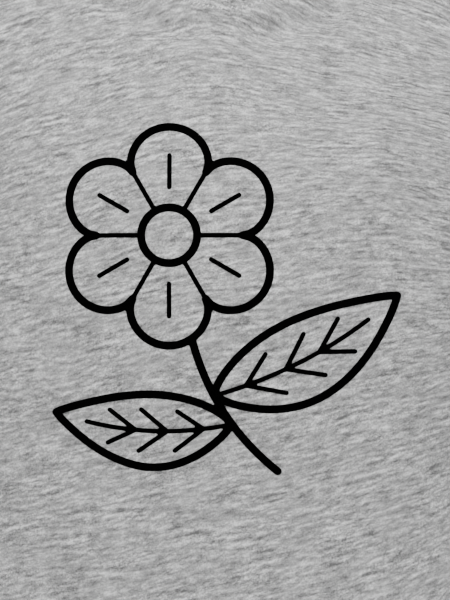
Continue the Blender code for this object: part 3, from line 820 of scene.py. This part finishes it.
def shell(name, outer, inner, knit, material, is_tube=False):
    """A closed wall between two grids of points, rows by columns, with the knit's coordinates on it.

    A tube's last column meets its first, and its knit grid has one column more.
    """
    rows, columns = outer.shape[:2]
    steps = columns if is_tube else columns - 1
    inside = rows * columns
    row, column = grid_squares(rows - 1, steps)
    face = row * columns + column % columns
    face_knit = knit[row, column]
    around = [(0, i + 1, 0, i) for i in range(steps)]
    around += [(rows - 1, i, rows - 1, i + 1) for i in range(steps)]
    if not is_tube:
        around += [(i, 0, i + 1, 0) for i in range(rows - 1)]
        around += [(i + 1, columns - 1, i, columns - 1) for i in range(rows - 1)]
    r1, c1, r2, c2 = np.array(around).T
    first, second = r1 * columns + c1 % columns, r2 * columns + c2 % columns
    edge = np.stack([first, second, second + inside, first + inside], axis=1)
    edge_knit = np.stack([knit[r1, c1], knit[r2, c2], knit[r2, c2], knit[r1, c1]], axis=1)
    faces = np.concatenate([face, face[:, ::-1] + inside, edge])
    corners = np.concatenate([face_knit, face_knit[:, ::-1], edge_knit])
    points = np.concatenate([outer.reshape(-1, 3), inner.reshape(-1, 3)])
    return new_object(name, points, faces, material, corners)


def surface_tree(*shells):
    """A search tree over the outer faces of some shells, whose outer points come first."""
    points, faces = [], []
    for built in shells:
        first, half = len(points), len(built.data.vertices) // 2
        points += [vertex.co.copy() for vertex in built.data.vertices[:half]]
        for polygon in built.data.polygons:
            if max(polygon.vertices) < half:
                faces.append([first + i for i in polygon.vertices])
    return BVHTree.FromPolygons(points, faces)


def quarter_angles():
    """Angles round a quarter of the neckline, closer together towards the neck point."""
    left = np.linspace(1, 0, NECK_COLUMNS + 1)
    return math.pi / 2 * (1 - left**NECK_CROWDING)


def panel_columns():
    """Places across a panel: round the neckline, even along the shoulder, and close at the side edge."""
    at_neck = NECK_HALF * np.sin(quarter_angles()) / SHOULDER_REACH
    at_shoulder = np.linspace(at_neck[-1], 1, SHOULDER_COLUMNS + 1)[1:]
    at_edge = 1 - np.array(SEAM_STEPS[::-1]) / SHOULDER_REACH
    half = np.concatenate([at_neck, at_shoulder[:-1], at_edge, [1]])
    return np.concatenate([-half[:0:-1], half])


def hem_distances():
    """Distances from a hem's edge to its own rows."""
    start, pitch = HEM_EVEN_ROWS
    even = np.arange(start, HEM_DEPTH + ROUND_OFF, pitch)
    return np.concatenate([HEM_EDGE_ROWS, even, [HEM_DEPTH + HEM_STEP]])


def panel_rows():
    """Heights up a panel: the hem's own rows, then even to the armpit, then even round the armhole."""
    hem = hem_distances() / (LENGTH - ARMPIT_DROP)
    lower = np.linspace(hem[-1], 1, BODY_ROWS)[1:]
    upper = 1 + np.linspace(0, 1, ARMHOLE_ROWS + 1)[1:]
    return np.concatenate([hem, lower, upper])


def wall_faces(flat, outwards, height, from_hem, in_hem):
    """Outer and inner points of a wall, raised by height, doubled in the hem and rounded at its edge."""
    radius = HEM_WALL / 2
    short = np.clip(1 - from_hem / radius, 0, 1)
    tuck = radius * (1 - np.sqrt(1 - short**2)) * EDGE_ROUNDING
    depth = np.where(in_hem, HEM_WALL, WALL) - tuck
    raised = flat + outwards * height[..., None]
    return raised - outwards * tuck[..., None], raised - outwards * depth[..., None]


def panel(side, material):
    across, up = np.meshgrid(panel_columns(), panel_rows())
    form = torso_form(side, across, up)
    x, drop = form[..., 0], -form[..., 2]
    flat = drape(form)
    outwards = panel_directions(side, across, up)
    folds = fold_height(side, x, drop) + slack_height(side, x, drop)
    from_left = lengths_along(flat, 1)
    from_side = np.minimum(from_left, from_left[:, -1:] - from_left)
    from_hem = lengths_along(flat, 0)
    from_top = from_hem[-1] - from_hem
    angles = np.linspace(-math.pi / 2, math.pi / 2, NECK_POINTS) + (0 if side == "front" else math.pi)
    is_near = drop < NECK_DROP[side] + NEAR_NECK
    from_neck = np.where(is_near, distance_to_line(flat, neckline(angles)), FAR_OFF)
    beside = seam_shape(from_side, from_hem)
    top = seam_shape(np.minimum(from_top, from_neck), from_left)
    sewn = stitch_dent(from_hem, HEM_ROWS) + stitch_dent(from_neck, NECK_ROWS)
    height = folds * seam_fade(across, up) + beside + top + sewn + hem_pucker(from_hem, from_left)
    outer, inner = wall_faces(flat, outwards, height, from_hem, from_hem < HEM_DEPTH + HEM_STEP / 2)
    round_body = section_length(side, x, drop)
    knit = np.stack([round_body, from_hem - course_lift(side, round_body, drop)], axis=-1)
    knit[..., 0] += PIECE_OFFSET[side]
    if side == "back":
        outer, inner, knit = outer[:, ::-1], inner[:, ::-1], knit[:, ::-1]
    return shell(side, outer, inner, knit, material)


def sleeve_tube(name, hand, material):
    arcs = np.arange(2 * ARMHOLE_ROWS + 1) * math.pi / ARMHOLE_ROWS
    hem = 1 - hem_distances()[::-1] / SLEEVE_LENGTH
    start = np.concatenate([[0], np.array(SEAM_STEPS) / SLEEVE_LENGTH])
    rows = np.concatenate([start, np.linspace(start[-1], hem[0], SLEEVE_ROWS)[1:-1], hem])
    arc, along = np.meshgrid(arcs, rows)
    flat = sleeve(hand, arc, along)
    outwards = sleeve_normals(hand, arc, along)
    outwards[0] = armhole_direction(hand, arcs)
    from_top = (math.pi - arc) / (2 * math.pi) * SLEEVE_AROUND
    v = along * SLEEVE_LENGTH
    folds = fold_height(name, from_top, v) + slack_height(name, from_top, v)
    from_armhole, around = lengths_along(flat, 0), lengths_along(flat, 1)
    from_cuff = from_armhole[-1] - from_armhole
    sewn = stitch_dent(from_cuff, HEM_ROWS) + hem_pucker(from_cuff, around)
    height = folds * sleeve_fade(from_top, along) + seam_shape(from_armhole, around) + sewn
    outer, inner = wall_faces(flat, outwards, height, from_cuff, along > hem[0] + ROUND_OFF)
    knit = np.stack([PIECE_OFFSET[name] + from_top, v], axis=-1)
    outer, inner = outer[:, :-1], inner[:, :-1]
    if hand > 0:
        # The columns run the other way round, still starting at the armpit.
        outer = np.roll(outer[:, ::-1], 1, axis=1)
        inner = np.roll(inner[:, ::-1], 1, axis=1)
        knit = knit[:, ::-1]
    return shell(name, outer, inner, knit, material, is_tube=True)


def facing_below(side, x, drop):
    """Unit normal of a panel's surface, a small step below the point at x and drop."""
    drop, near = drop + STEP, STEP / 2
    sideways = (surface_depth(side, x + near, drop) - surface_depth(side, x - near, drop)) / STEP
    down = (surface_depth(side, x, drop + near) - surface_depth(side, x, drop - near)) / STEP
    return unit(np.stack([-sideways, np.full_like(x, -1 if side == "front" else 1), down], axis=-1))


def neck_frame(angle):
    """Points of the neckline, with the way that the panels leave it and their normal there."""
    base = neckline(angle)
    along = unit(neckline(angle + STEP) - neckline(angle - STEP))
    x, drop = base[..., 0], -base[..., 2]
    # Both panels share their normals beside the neck point.
    share = np.clip(0.5 + np.cos(angle) / NECK_POINT_BLEND, 0, 1)[..., None]
    facing = unit(mix(facing_below("back", x, drop), facing_below("front", x, drop), share))
    away = unit(np.cross(facing, along))
    return base, away * np.sign((away * level_way(angle)).sum(axis=-1, keepdims=True)), facing


def band_profile():
    """Heights and depths of rows up the rib's outer face, over its fold and down its inner face."""
    radius = BAND_WALL / 2
    straight = 1 - radius / BAND_HEIGHT
    even = np.linspace(BAND_FIRST_ROW, straight, BAND_ROWS)
    rise = np.concatenate([[0, HEM_STEP / BAND_HEIGHT], even])
    turn = np.linspace(0, math.pi, FOLD_TURNS + 2)[1:-1]
    ups = np.concatenate([rise, straight + radius / BAND_HEIGHT * np.sin(turn), rise[::-1]])
    inner = np.full_like(rise, BAND_WALL)
    depths = np.concatenate([np.zeros_like(rise), radius * (1 - np.cos(turn)), inner])
    allowance = (*ALLOWANCE_DEPTHS, ALLOWANCE_DEPTHS[-1])
    return np.concatenate([ups, [0, 0, 0]]), np.concatenate([depths, allowance])


def neckband(material):
    count = RIB_COUNT * RIB_POINTS
    # The band's ends meet at the middle of the back.
    fine = np.linspace(-math.pi, math.pi, NECK_FINE_POINTS)
    run = lengths_along(neckline(fine), 0)
    angles = np.interp(np.arange(count) * run[-1] / count, run, fine)
    ups, depths = band_profile()
    angle, up = np.meshgrid(angles, ups)
    outwards = band_normals(angle, up)
    # The rib's first row, its last one and the allowance's last one lie along the neck seam.
    outwards[0] = outwards[-1] = neckline_direction(angles)
    outwards[-4] = outwards[0]
    place = band(angle, np.clip(up, 0, 1))
    # The seam allowance is pressed down behind the panels' edges.
    base, away, facing = neck_frame(angles)
    for row in (-3, -2):
        place[row], outwards[row] = base + away * ALLOWANCE, facing
    phase = np.arange(count) % RIB_POINTS / RIB_POINTS * 2 * math.pi
    middle = BAND_WALL / 2
    side = np.clip((middle - depths) / middle, -1, 1)
    fade = np.clip(up * BAND_HEIGHT / RIB_FADE, 0, 1)
    ribs = RIB_HEIGHT / 2 * (np.cos(phase) - 1) * fade * side[:, None]
    points = place - outwards * (depths[:, None] - ribs)[..., None]
    around = np.interp(np.append(angles, math.pi), fine, run)
    v = np.cumsum(np.concatenate([[0], np.hypot(np.diff(ups) * BAND_HEIGHT, np.diff(depths))]))
    knit = np.stack(np.meshgrid(PIECE_OFFSET["neckband"] + around, v), axis=-1)
    rows = len(ups)
    row, column = grid_squares(rows, count)
    faces = (row % rows) * count + column % count
    corners = knit[np.minimum(row, rows - 1), column]
    return new_object("neckband", points.reshape(-1, 3), faces, material, corners)


def stitch_shape():
    """One stitch along X: rings of points that dip into the cloth at both ends."""
    rings = []
    for place, swell, height in STITCH_RINGS:
        for side in range(STITCH_SIDES):
            angle = 2 * math.pi * side / STITCH_SIDES
            across = THREAD_RADIUS * swell * math.cos(angle)
            above = THREAD_RADIUS * (swell * math.sin(angle) + height)
            rings.append((place * STITCH_LENGTH, across, above))
    faces = []
    last = len(rings) - STITCH_SIDES
    for first in range(0, last, STITCH_SIDES):
        for side in range(STITCH_SIDES):
            a, b = first + side, first + (side + 1) % STITCH_SIDES
            faces.append((a, b, b + STITCH_SIDES, a + STITCH_SIDES))
    faces.append(tuple(reversed(range(STITCH_SIDES))))
    faces.append(tuple(range(last, len(rings))))
    return rings, faces


def sew(name, lines, tree, material):
    """Rows of stitches along closed lines of points, laid on the nearest faces of the cloth."""
    shape, shape_faces = stitch_shape()
    points, faces = [], []
    for line in lines:
        run = lengths_along(line, 0)
        count = round(run[-1] / STITCH_PITCH)
        places = (np.arange(count) + 0.5) * run[-1] / count
        starts, ends = (
            np.stack([np.interp(places + shift, run, line[:, axis]) for axis in range(3)], axis=-1)
            for shift in (-STITCH_PITCH / 2, STITCH_PITCH / 2)
        )
        found = [tree.find_nearest(Vector(middle)) for middle in (starts + ends) / 2]
        spots, facings = (np.array([tuple(hit[i]) for hit in found]) for i in (0, 1))
        # Across another seam a stitch bridges the dip, so it follows the cloth on both sides of it.
        near = range(-STITCH_NEIGHBOURS, STITCH_NEIGHBOURS + 1)
        facings = unit(sum(np.roll(facings, shift, axis=0) for shift in near))
        for spot, facing, along in zip(spots, facings, unit(ends - starts)):
            across = unit(np.cross(facing, along))
            turn = Matrix((np.cross(across, facing), across, facing)).transposed()
            turn = turn @ Matrix.Rotation(STITCH_TURN, 3, "Z")
            first = len(points)
            points += [Vector(spot) + turn @ Vector(corner) for corner in shape]
            faces += [[first + i for i in face] for face in shape_faces]
    return new_object(name, points, faces, material)


def hem_line(distance):
    """A line round the body, that far above the bottom hem's edge."""
    across = np.linspace(-1, 1, SEWING_POINTS)
    up = distance / (LENGTH - ARMPIT_DROP)
    front, back = torso("front", across, up), torso("back", across[::-1], up)
    return np.concatenate([front, back[1:], front[:1]])


def cuff_line(hand, distance):
    """A line round a sleeve, that far above its edge."""
    arc = np.linspace(0, 2 * math.pi, SEWING_POINTS + 1)
    return sleeve(hand, arc, 1 - distance / SLEEVE_LENGTH)


def neck_line(distance):
    """A line round the neck, that far outside the neck seam on the panels."""
    base, away, _ = neck_frame(np.linspace(0, 2 * math.pi, ROUND_POINTS))
    return base + away * distance


def curve_points(start, middle, end, count=24):
    """A curve from start to end, drawn towards middle."""
    t = np.linspace(0, 1, count)[:, None]
    start, middle, end = (np.array(p, float) for p in (start, middle, end))
    return (1 - t) ** 2 * start + 2 * t * (1 - t) * middle + t * t * end


def leaf_lines(base, tip, half_width, bend):
    """A leaf between two points: its bold outline, and its fine midrib and side veins."""
    base, tip = np.array(base, float), np.array(tip, float)
    along = tip - base
    across = np.array([-along[1], along[0]]) / np.linalg.norm(along)
    t = np.linspace(0, 1, LEAF_POINTS)
    spine = base + t[:, None] * along + (bend * 4 * t * (1 - t))[:, None] * across
    width = half_width * np.sin(math.pi * t**LEAF_POWER) ** LEAF_POWER
    upper, lower = spine + width[:, None] * across, spine - width[:, None] * across
    lines = [(upper, BOLD_LINE), (lower, BOLD_LINE), (spine[:MIDRIB_POINTS], FINE_LINE)]
    for share in np.linspace(*VEINS):
        i = int(share * (LEAF_POINTS - 1))
        j = i + VEIN_RUN
        for edge in (upper, lower):
            lines.append((np.array([spine[i], mix(spine[j], edge[j], VEIN_REACH)]), FINE_LINE))
    return lines


def print_lines():
    """The drawing's lines, each as its points and its width."""
    centre = np.array(BLOOM_CENTRE, float)
    angle = np.linspace(0, 2 * math.pi, ROUND_POINTS)
    heading = np.stack([np.sin(angle), np.cos(angle)], axis=-1)
    petal = np.abs(np.cos(angle * BLOOM_PETALS / 2)) ** PETAL_POWER
    lines = [(centre + heading * mix(BLOOM_NOTCH, BLOOM_TIP, petal)[:, None], BOLD_LINE)]
    lines.append((centre + heading * BLOOM_EYE, BOLD_LINE))
    # A line between two petals, and one along the middle of a petal
    spokes = ((0.5, BLOOM_EYE, BLOOM_NOTCH), (0, BLOOM_EYE + SPOKE_ENDS[0], BLOOM_TIP - SPOKE_ENDS[1]))
    for i in range(BLOOM_PETALS):
        for turn, inner, outer in spokes:
            way = 2 * math.pi * (i + turn) / BLOOM_PETALS
            spoke = np.array([math.sin(way), math.cos(way)])
            lines.append((centre + np.array([[inner], [outer]]) * spoke, FINE_LINE))
    lines.append((curve_points(*STEM)[STEM_HIDDEN:], BOLD_LINE))
    for leaf in LEAVES:
        lines += leaf_lines(*leaf)
    return lines


def clip_to_lines(corners, values):
    """The part of a polygon where the values are below 0."""
    kept = []
    for i in range(len(corners)):
        j = (i + 1) % len(corners)
        if values[i] < 0:
            kept.append(corners[i])
        if (values[i] < 0) != (values[j] < 0):
            kept.append(mix(corners[i], corners[j], values[i] / (values[i] - values[j])))
    return kept


def printed(tree, material):
    """The print: thin faces that cover its lines, laid on the front's outer face."""
    ticks = np.arange(-PRINT_HALF, PRINT_HALF + PRINT_CELL / 2, PRINT_CELL)
    grid = np.stack(np.meshgrid(ticks, ticks), axis=-1)
    field = np.full(grid.shape[:2], np.inf)
    for line, width in print_lines():
        field = np.minimum(field, distance_to_line(grid, line) - width / 2)
    index, flat, faces = {}, [], []

    def place(corner):
        key = tuple(round(float(value), KEY_DIGITS) for value in corner)
        if key not in index:
            index[key] = len(flat)
            flat.append(key)
        return index[key]

    for row, column in np.argwhere(field[:-1, :-1] < 2 * PRINT_CELL):
        corners = [grid[row + dy, column + dx] for dy, dx in SQUARE]
        values = [field[row + dy, column + dx] for dy, dx in SQUARE]
        kept = [place(corner) for corner in clip_to_lines(corners, values)]
        kept = [spot for i, spot in enumerate(kept) if spot != kept[i - 1]]
        if len(kept) > 2:
            faces.append(kept)
    top, bottom = [], []
    for x, y in flat:
        start = Vector((x / MILLIMETRES, -1, y / MILLIMETRES - PRINT_MIDDLE_DROP))
        spot, facing, _, _ = tree.ray_cast(start, Vector((0, 1, 0)))
        top.append(spot + facing * PRINT_RISE)
        bottom.append(spot - facing * PRINT_SINK)
    count = len(flat)
    sides = dict.fromkeys((face[i - 1], face[i]) for face in faces for i in range(len(face)))
    rim = [(a, b) for a, b in sides if (b, a) not in sides]
    closed = faces + [[i + count for i in reversed(face)] for face in faces]
    closed += [[b, a, a + count, b + count] for a, b in rim]
    return new_object("print", top + bottom, closed, material)


class Graph:
    """A material's nodes, added and wired one at a time."""

    def __init__(self, name):
        self.material = bpy.data.materials.new(name)
        self.material.use_nodes = True
        self.tree = self.material.node_tree
        self.shader = self.tree.nodes["Principled BSDF"]

    def add(self, kind, inputs=(), **settings):
        made = self.tree.nodes.new("ShaderNode" + kind)
        for name, value in settings.items():
            setattr(made, name, value)
        for name, value in dict(inputs).items():
            self.feed(made.inputs[name], value)
        return made

    def feed(self, socket, value):
        if isinstance(value, bpy.types.NodeSocket):
            self.tree.links.new(value, socket)
        else:
            socket.default_value = value

    def math(self, operation, *values):
        return self.add("Math", enumerate(values), operation=operation).outputs[0]

    def stretched(self, vector, lengths, turn=0.0):
        """The vector measured in these lengths along its axes, after a turn."""
        scale = (1 / lengths[0], 1 / lengths[1], 1)
        turned = self.add("Mapping", {"Vector": vector, "Rotation": (0, 0, turn)}).outputs[0]
        return self.add("Mapping", {"Vector": turned, "Scale": scale}).outputs[0]

    def noise(self, vector, detail, roughness, distortion=0.0):
        inputs = {"Vector": vector, "Scale": 1.0, "Detail": detail}
        inputs.update({"Roughness": roughness, "Distortion": distortion})
        return self.add("TexNoise", inputs).outputs["Fac"]

    def weighed(self, parts):
        """0.5 plus each noise's swing round 0.5 times its weight."""
        total = 0.5
        for value, weight in parts:
            swing = self.math("MULTIPLY", self.math("SUBTRACT", value, 0.5), weight)
            total = self.math("ADD", total, swing)
        return total

    def ramp(self, factor, stops):
        made = self.add("ValToRGB", {"Fac": factor})
        elements = made.color_ramp.elements
        while len(elements) < len(stops):
            elements.new(0.5)
        for element, (place, grey) in zip(elements, stops):
            element.position = place
            element.color = (grey, grey, grey, 1)
        return made.outputs["Color"]

    def bump(self, height, distance, **inputs):
        inputs.update({"Height": height, "Distance": distance, "Strength": BUMP_STRENGTH})
        return self.add("Bump", inputs).outputs[0]

    def finish(self, color, normal, levels):
        """Gives the shader its colour, normal and other levels."""
        for name, value in {"Base Color": color, "Normal": normal, **levels}.items():
            self.feed(self.shader.inputs[name], value)
        return self.material


def knit_rows(graph, knit, wale, course):
    """Where a point lies among the columns of V-shaped stitches, and among their rows."""
    split = graph.add("SeparateXYZ", {"Vector": knit})
    columns = graph.math("DIVIDE", split.outputs["X"], wale)
    slant = graph.math("PINGPONG", columns, 0.5)
    rows = graph.math("ADD", graph.math("DIVIDE", split.outputs["Y"], course), slant)
    return split.outputs["X"], columns, rows


def marl(name, shades, wale, course):
    """Grey marl: fibres of several greys spun together, which streak along the courses."""
    graph = Graph(name)
    knit = graph.add("UVMap", uv_map="knit").outputs[0]
    drift = graph.noise(graph.stretched(knit, DRIFT_LENGTHS), 1.0, 0.5)
    drift = graph.math("MULTIPLY", graph.math("SUBTRACT", drift, 0.5), DRIFT)
    wander = graph.add("CombineXYZ", {"Y": drift}).outputs[0]
    courses = graph.add("VectorMath", {0: knit, 1: wander}, operation="ADD").outputs[0]
    along, columns, rows = knit_rows(graph, courses, wale, course)
    # Each row of stitches is one yarn, so its shade changes along the row and not across it.
    yarn = graph.math("MULTIPLY", graph.math("FLOOR", rows), course)
    yarns = graph.add("CombineXYZ", {"X": along, "Y": yarn}).outputs[0]
    noises = {}
    for kind, (lengths, turn, detail, roughness, distortion, _) in YARN_NOISES.items():
        noises[kind] = graph.noise(graph.stretched(yarns, lengths, turn), detail, roughness, distortion)
    cloudy = graph.noise(graph.stretched(knit, CLOUD_LENGTHS), 2.0, 0.5)
    patches = graph.noise(graph.stretched(knit, PATCH_LENGTHS), 1.0, 0.5)
    wales = graph.math("COSINE", graph.math("MULTIPLY", columns, 4 * math.pi))
    loops = graph.math("SINE", graph.math("MULTIPLY", rows, 2 * math.pi))
    weighed_loops = graph.math("MULTIPLY", loops, LOOP_WEIGHT)
    stitches = graph.math("ADD", weighed_loops, graph.math("MULTIPLY", wales, WALE_WEIGHT))
    factor = graph.weighed((noises[kind], row[-1]) for kind, row in YARN_NOISES.items())
    strength = graph.math("ADD", graph.math("MULTIPLY", patches, PATCH_STRENGTH), LEAST_STRENGTH)
    factor = graph.math("MULTIPLY", graph.math("SUBTRACT", factor, 0.5), strength)
    factor = graph.math("ADD", factor, graph.weighed(((cloudy, CLOUD_WEIGHT),)))
    # Painted light and shade of the stitches' loops goes into the colour, on top of their real relief in
    # the bump
    factor = graph.math("ADD", factor, graph.math("MULTIPLY", stitches, PAINTED_STITCH_SHADING))
    rough = graph.weighed((noises[kind], weight) for kind, weight in YARN_RELIEF_WEIGHTS.items())
    relief = graph.bump(stitches, STITCH_RELIEF, Normal=graph.bump(rough, YARN_RELIEF))
    levels = {"Roughness": 0.92, "Specular IOR Level": 0.18, "Sheen Weight": 0.10, "Sheen Roughness": 0.45}
    return graph.finish(graph.ramp(factor, shades), relief, levels)


def speckled(name, size, detail, roughness, shades, relief, levels):
    """A material whose grey and relief follow one fine noise."""
    graph = Graph(name)
    place = graph.add("TexCoord").outputs["Object"]
    noise = graph.noise(graph.stretched(place, (size, size)), detail, roughness)
    return graph.finish(graph.ramp(noise, shades), graph.bump(noise, relief), levels)


def ink():
    levels = {"Roughness": 0.9, "Specular IOR Level": 0.02}
    return speckled("print", 0.0009, 3.0, 0.6, ((0.3, 0.0002), (0.7, 0.0008)), 0.00012, levels)


def spun_thread():
    levels = {"Roughness": 0.6, "Sheen Weight": 0.2}
    return speckled("thread", 0.0003, 2.0, 0.5, ((0.3, 0.80), (0.7, 0.96)), 0.00008, levels)


def camera():
    made = linked("camera", bpy.data.cameras.new("camera"))
    made.data.sensor_fit = "VERTICAL"
    made.data.sensor_height = SENSOR
    made.data.lens = SENSOR * CAMERA_DISTANCE / FRAME_HEIGHT
    made.location = (0, -CHEST_FRONT - CAMERA_DISTANCE, -FRAME_MIDDLE_DROP)
    made.rotation_euler = (math.radians(90), 0, 0)
    bpy.context.scene.camera = made


def area_light(name, place, size, power):
    light = bpy.data.lights.new(name, "AREA")
    light.shape = "RECTANGLE"
    light.size, light.size_y = size
    light.energy = power
    made = linked(name, light)
    made.location = place
    made.rotation_euler = (Vector(CHEST) - Vector(place)).to_track_quat("-Z", "Y").to_euler()


def studio():
    """A pale floor, an even pale room and soft light from above."""
    mesh = bpy.data.meshes.new("floor")
    reach, height = FLOOR_REACH, FLOOR_HEIGHT
    corners = [(x * reach, y * reach, height) for x, y in ((-1, -1), (1, -1), (1, 1), (-1, 1))]
    mesh.from_pydata(corners, [], [(0, 1, 2, 3)])
    pale = bpy.data.materials.new("floor")
    pale.use_nodes = True
    shader = pale.node_tree.nodes["Principled BSDF"]
    shader.inputs["Base Color"].default_value = (FLOOR_GREY, FLOOR_GREY, FLOOR_GREY, 1)
    shader.inputs["Roughness"].default_value = 0.9
    mesh.materials.append(pale)
    linked("floor", mesh)
    for name, settings in LIGHTS.items():
        area_light(name, *settings)
    world = bpy.data.worlds.new("room")
    bpy.context.scene.world = world
    world.use_nodes = True
    background = world.node_tree.nodes["Background"]
    background.inputs["Color"].default_value = (ROOM_GREY, ROOM_GREY, ROOM_GREY, 1)
    background.inputs["Strength"].default_value = ROOM_STRENGTH


def main():
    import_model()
    camera()
    studio()
    jersey = marl("jersey", JERSEY_SHADES, *JERSEY_STITCH)
    # The rib's marl is painted darker, for the shade in the grooves between its ribs
    rib = marl("rib", RIB_GREYS_WITH_PAINTED_SHADE, *RIB_STITCH)
    thread = spun_thread()
    front, back = panel("front", jersey), panel("back", jersey)
    sleeves = {name: sleeve_tube(name, hand, jersey) for name, hand in HANDS.items()}
    collar = neckband(rib)
    body_tree = surface_tree(front, back)
    picture = printed(surface_tree(front), ink())
    neck_sewing = sew("neck_stitches", [neck_line(row) for row in NECK_ROWS], body_tree, thread)
    hem_sewing = sew("hem_stitches", [hem_line(row) for row in HEM_ROWS], body_tree, thread)
    cuff_sewing = {}
    for name, hand in HANDS.items():
        lines = [cuff_line(hand, row) for row in HEM_ROWS]
        cuff_sewing[name] = sew(name + "_stitches", lines, surface_tree(sleeves[name]), thread)
    pieces = {"front": front, "back": back, "neckband": collar, **sleeves}
    for node, piece in pieces.items():
        piece.name = node + "_cloth"
        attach(piece, "root")
        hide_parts(node)
    for piece in (neck_sewing, hem_sewing, *cuff_sewing.values()):
        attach(piece, "root")
    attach(picture, "root")


main()
